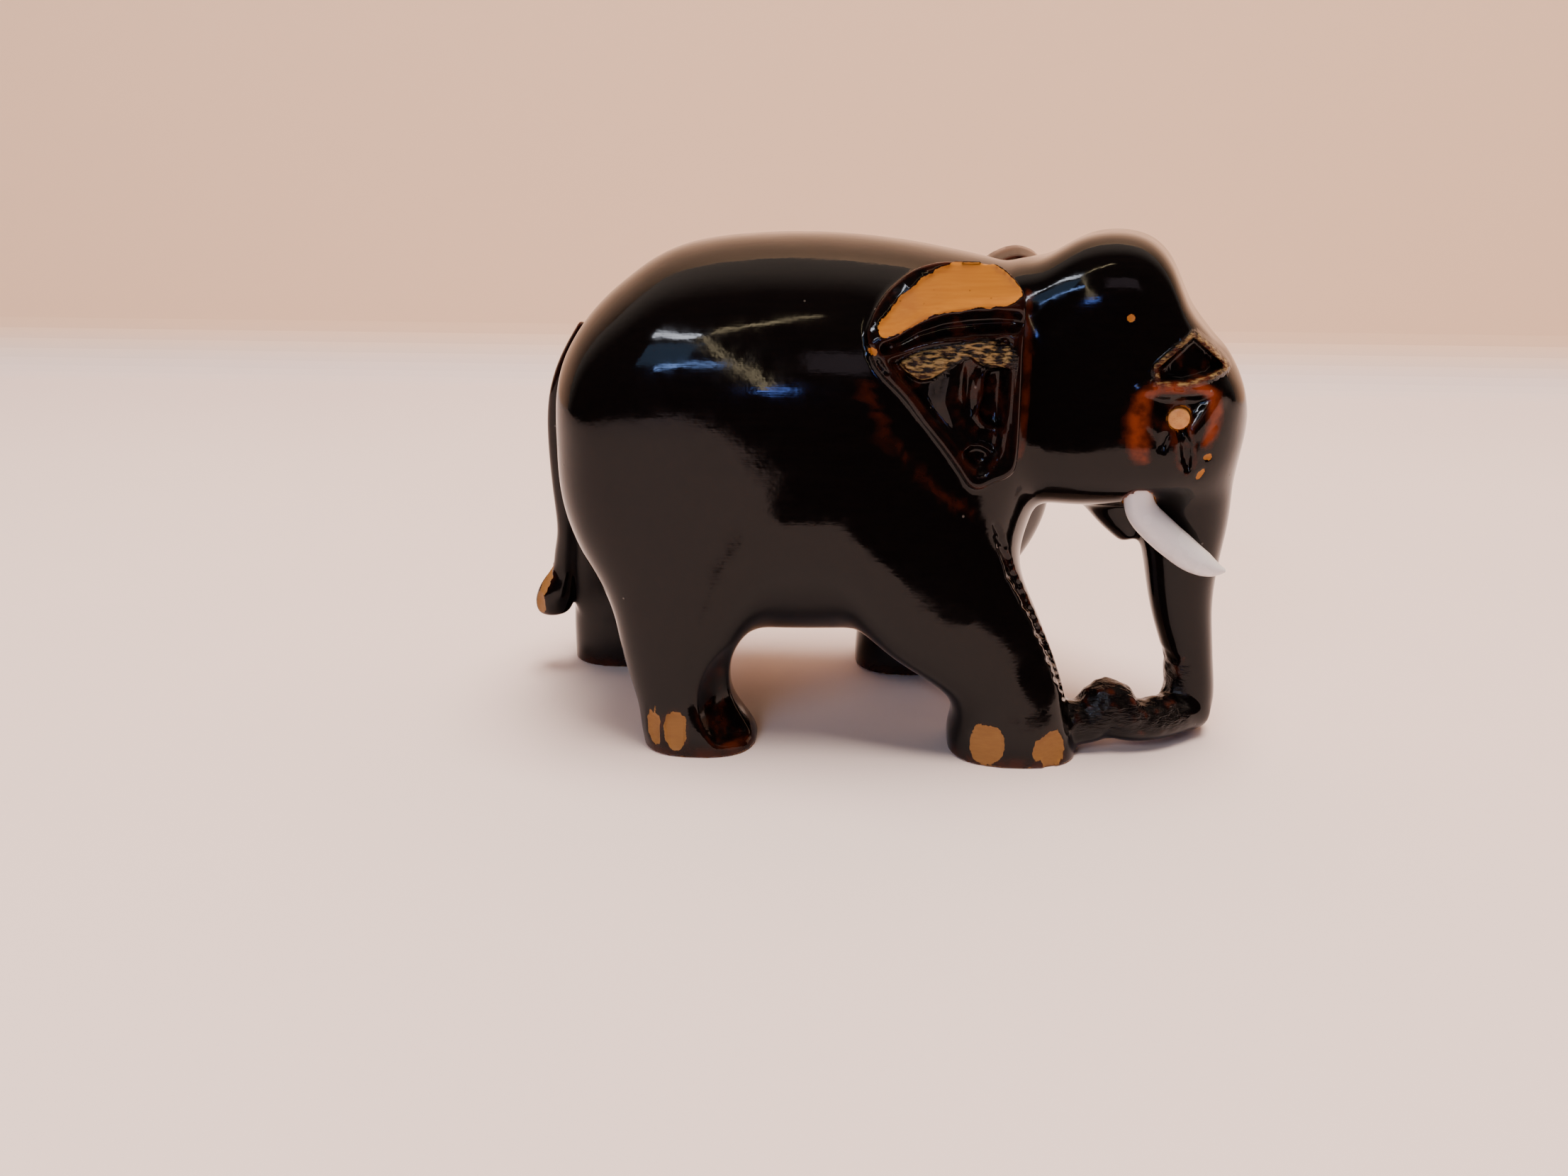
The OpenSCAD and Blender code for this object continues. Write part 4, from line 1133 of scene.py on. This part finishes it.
def white_plastic():
    """Moulded white plastic, polished: soft sheen, a little light passes through it."""
    material, tree = new_material("polished_white_plastic")
    place = add_node(tree, "ShaderNodeTexCoord").outputs["Object"]
    cloud = add_node(tree, "ShaderNodeTexNoise", {"Vector": place, "Scale": 300, "Detail": 2}).outputs[0]
    colour = blend_colour(tree, cloud, linear("#DAD6D6"), linear("#E6E3E2"))
    rough = between(tree, cloud, 0.3, 0.7, 0.20, 0.30)
    fine = add_node(tree, "ShaderNodeTexNoise", {"Vector": place, "Scale": 2500, "Detail": 2}).outputs[0]
    bump = add_node(tree, "ShaderNodeBump", {"Height": fine, "Distance": 0.00001, "Strength": 0.5}).outputs[0]
    finish_with(tree, {"Base Color": colour, "Roughness": rough, "Normal": bump, "IOR": 1.49,
                       "Subsurface Weight": 0.25, "Subsurface Radius": (1.0, 0.9, 0.8),
                       "Subsurface Scale": 0.0012})
    return material


def peg_wood():
    """A peg of light wood cut across its grain: tan, fine pores, lightly varnished."""
    material, tree = new_material("end_grain_peg_wood")
    place = add_node(tree, "ShaderNodeTexCoord").outputs["Object"]
    cloud = add_node(tree, "ShaderNodeTexNoise", {"Vector": place, "Scale": 900, "Detail": 4}).outputs[0]
    colour = blend_colour(tree, between(tree, cloud, 0.3, 0.7), linear("#B87437"), linear("#D0944F"))
    pores = add_node(tree, "ShaderNodeTexVoronoi", {"Vector": place, "Scale": 3500}).outputs["Distance"]
    pore = between(tree, pores, 0.12, 0.3, 0.35, 0.0)
    colour = blend_colour(tree, pore, colour, linear("#7A4A22"))
    bump = add_node(tree, "ShaderNodeBump", {
        "Height": cloud, "Distance": 0.00005, "Strength": 0.6}).outputs[0]
    finish_with(tree, {"Base Color": colour, "Roughness": 0.38, "Normal": bump, "IOR": 1.5})
    return material


# ---- Stage and light ---------------------------------------------------------------------------

# The table's near edge as the lacquer mirrors it: it runs off to the left front
FLOOR_EDGE = [(-0.95, -0.9), (-0.27, -0.9), (-0.022, -0.155), (-0.020, -0.102), (-0.016, -0.086),
              (0.017, -0.086), (0.0415, -0.105), (0.95, -0.15)]


def make_stage():
    """A pale table that turns up into a warm wall behind."""
    wall_y, radius = 0.275, 0.02
    profile = [(wall_y - radius, 0)]
    for k in range(1, 9):
        a = math.pi / 2 * k / 8
        profile.append((wall_y - radius + radius * math.sin(a), radius - radius * math.cos(a)))
    profile.append((wall_y, 0.75))
    points = [(x, y, z) for y, z in profile for x in (-0.95, 0.95)]
    faces = [(2 * i, 2 * i + 1, 2 * i + 3, 2 * i + 2) for i in range(len(profile) - 1)]
    first = len(points)
    points += [(x, y, 0) for x, y in FLOOR_EDGE]
    faces.append([0] + list(range(first, len(points))) + [1])
    stage = new_mesh("table_and_wall", points, faces)
    material, tree = new_material("matt_painted_board")
    place = add_node(tree, "ShaderNodeTexCoord").outputs["Object"]
    height = add_node(tree, "ShaderNodeSeparateXYZ", {"Vector": place}).outputs[2]
    cloud = add_node(tree, "ShaderNodeTexNoise", {"Vector": place, "Scale": 6, "Detail": 3}).outputs[0]
    table = blend_colour(tree, cloud, linear("#DECCC9"), linear("#E7D6D2"))
    colour = blend_colour(tree, between(tree, height, 0.002, 0.02), table, linear("#FBD8B8"))
    finish_with(tree, {"Base Color": colour, "Roughness": 0.75})
    stage.data.materials.append(material)
    # The rest of the table, which the lacquer doesn't mirror
    near = [(0.95, -0.9)] + FLOOR_EDGE[:0:-1]
    apron = new_mesh("near_table", [(x, y, 0) for x, y in near], [list(range(len(near)))])
    apron.visible_glossy = False
    apron.data.materials.append(material)


def make_sky():
    """Warm light from above and behind, and a dark room in front."""
    world = bpy.data.worlds.new("room")
    world.use_nodes = True
    tree = world.node_tree
    tree.nodes.clear()
    way = add_node(tree, "ShaderNodeTexCoord").outputs["Generated"]
    split = add_node(tree, "ShaderNodeSeparateXYZ", {"Vector": way})
    # From straight overhead back to the wall the room is bright, and dark towards the front
    lean = sums(tree, "ADD", split.outputs[1], sums(tree, "MULTIPLY", split.outputs[2], 0.55))
    bright = between(tree, lean, 0.08, 0.70)
    colour = blend_colour(tree, bright, linear("#070606"), linear("#E2CDBD"))
    back = add_node(tree, "ShaderNodeBackground", {"Color": colour, "Strength": 1.6})
    seen = add_node(tree, "ShaderNodeBackground", {"Color": linear("#D6C6BC"), "Strength": 1.0})
    direct = add_node(tree, "ShaderNodeLightPath").outputs["Is Camera Ray"]
    both = add_node(tree, "ShaderNodeMixShader", {0: direct, 1: back.outputs[0], 2: seen.outputs[0]})
    add_node(tree, "ShaderNodeOutputWorld", {"Surface": both.outputs[0]})
    bpy.context.scene.world = world


def softbox(name, place, aim, size, colour, power, mirrored=True):
    """A rectangular lamp that faces its aim."""
    lamp = bpy.data.lights.new(name, "AREA")
    lamp.shape = "RECTANGLE"
    lamp.size, lamp.size_y = size
    lamp.energy = power
    lamp.color = linear(colour)[:3]
    holder = bpy.data.objects.new(name, lamp)
    holder.location = place
    holder.rotation_euler = (Vector(aim) - Vector(place)).to_track_quat("-Z", "Y").to_euler()
    holder.visible_glossy = mirrored
    bpy.context.scene.collection.objects.link(holder)
    return holder


def panel(name, start, end, thick, colour, glow):
    """A glowing strip between two directions, each (degrees to the right, degrees up), 1 m off."""
    ends = []
    for across, up in (start, end):
        a, b = math.radians(across), math.radians(up)
        ends.append(Vector((math.sin(a) * math.cos(b), -math.cos(a) * math.cos(b), math.sin(b))))
    middle = (ends[0] + ends[1]) / 2
    run = ends[1] - ends[0]
    wide = math.radians(thick)
    aim = Vector((-0.01, -0.018, 0.05))
    holder = softbox(name, aim + middle, aim, (run.length, wide), colour, glow * run.length * wide * math.pi)
    away = middle.normalized()
    along = (run - away * run.dot(away)).normalized()
    axes = Matrix((along, away.cross(along), away)).transposed()
    holder.rotation_euler = axes.to_euler()
    return holder


def make_lights():
    """Soft light from above, and the bright things of the room that the lacquer mirrors."""
    softbox("ceiling_panel", (0.1, 0.0, 1.1), (0, 0.05, 0.03), (0.55, 0.55), "#FFEDDE", 27, mirrored=False)
    panel("window_top", (-44, 37), (-20, 34), 2.4, "#EEF3FF", 40)
    panel("window_pane", (-43, 26), (-18, 24), 11, "#8FB8E8", 2.6)
    panel("window_sill", (-31, 18.5), (-12, 18), 1.5, "#8FB4FF", 34)
    panel("far_window", (-7, 6), (-2.5, 5.5), 1.8, "#6C92FF", 27)
    panel("curtain_edge", (-19, 34), (-5, 7), 1.1, "#F3DEB4", 12)
    panel("cornice", (-17, 35), (3, 49), 1.1, "#F8E2B4", 17)
    panel("picture", (-1, 19), (17, 19), 10, "#C8B4C0", 1.5)


# ---- The object --------------------------------------------------------------------------------

def main():
    plastic, peg = white_plastic(), peg_wood()
    inserts = []
    for side, word in ((RIGHT, "right"), (LEFT, "left")):
        tusk = tusk_piece("plastic_tusk_" + word, side, plastic)
        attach(tusk, "root")
        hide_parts("tusk_" + word)
        eye = eye_piece("eye_peg_" + word, side, peg)
        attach(eye, "root")
        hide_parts("eye_" + word)
        inserts += [shape_of(tusk), shape_of(eye)]
    body = body_piece(inserts)
    body.data.materials.append(lacquered_wood())
    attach(body, "root")
    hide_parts("carved_body")
    make_stage()
    make_sky()
    make_lights()


main()
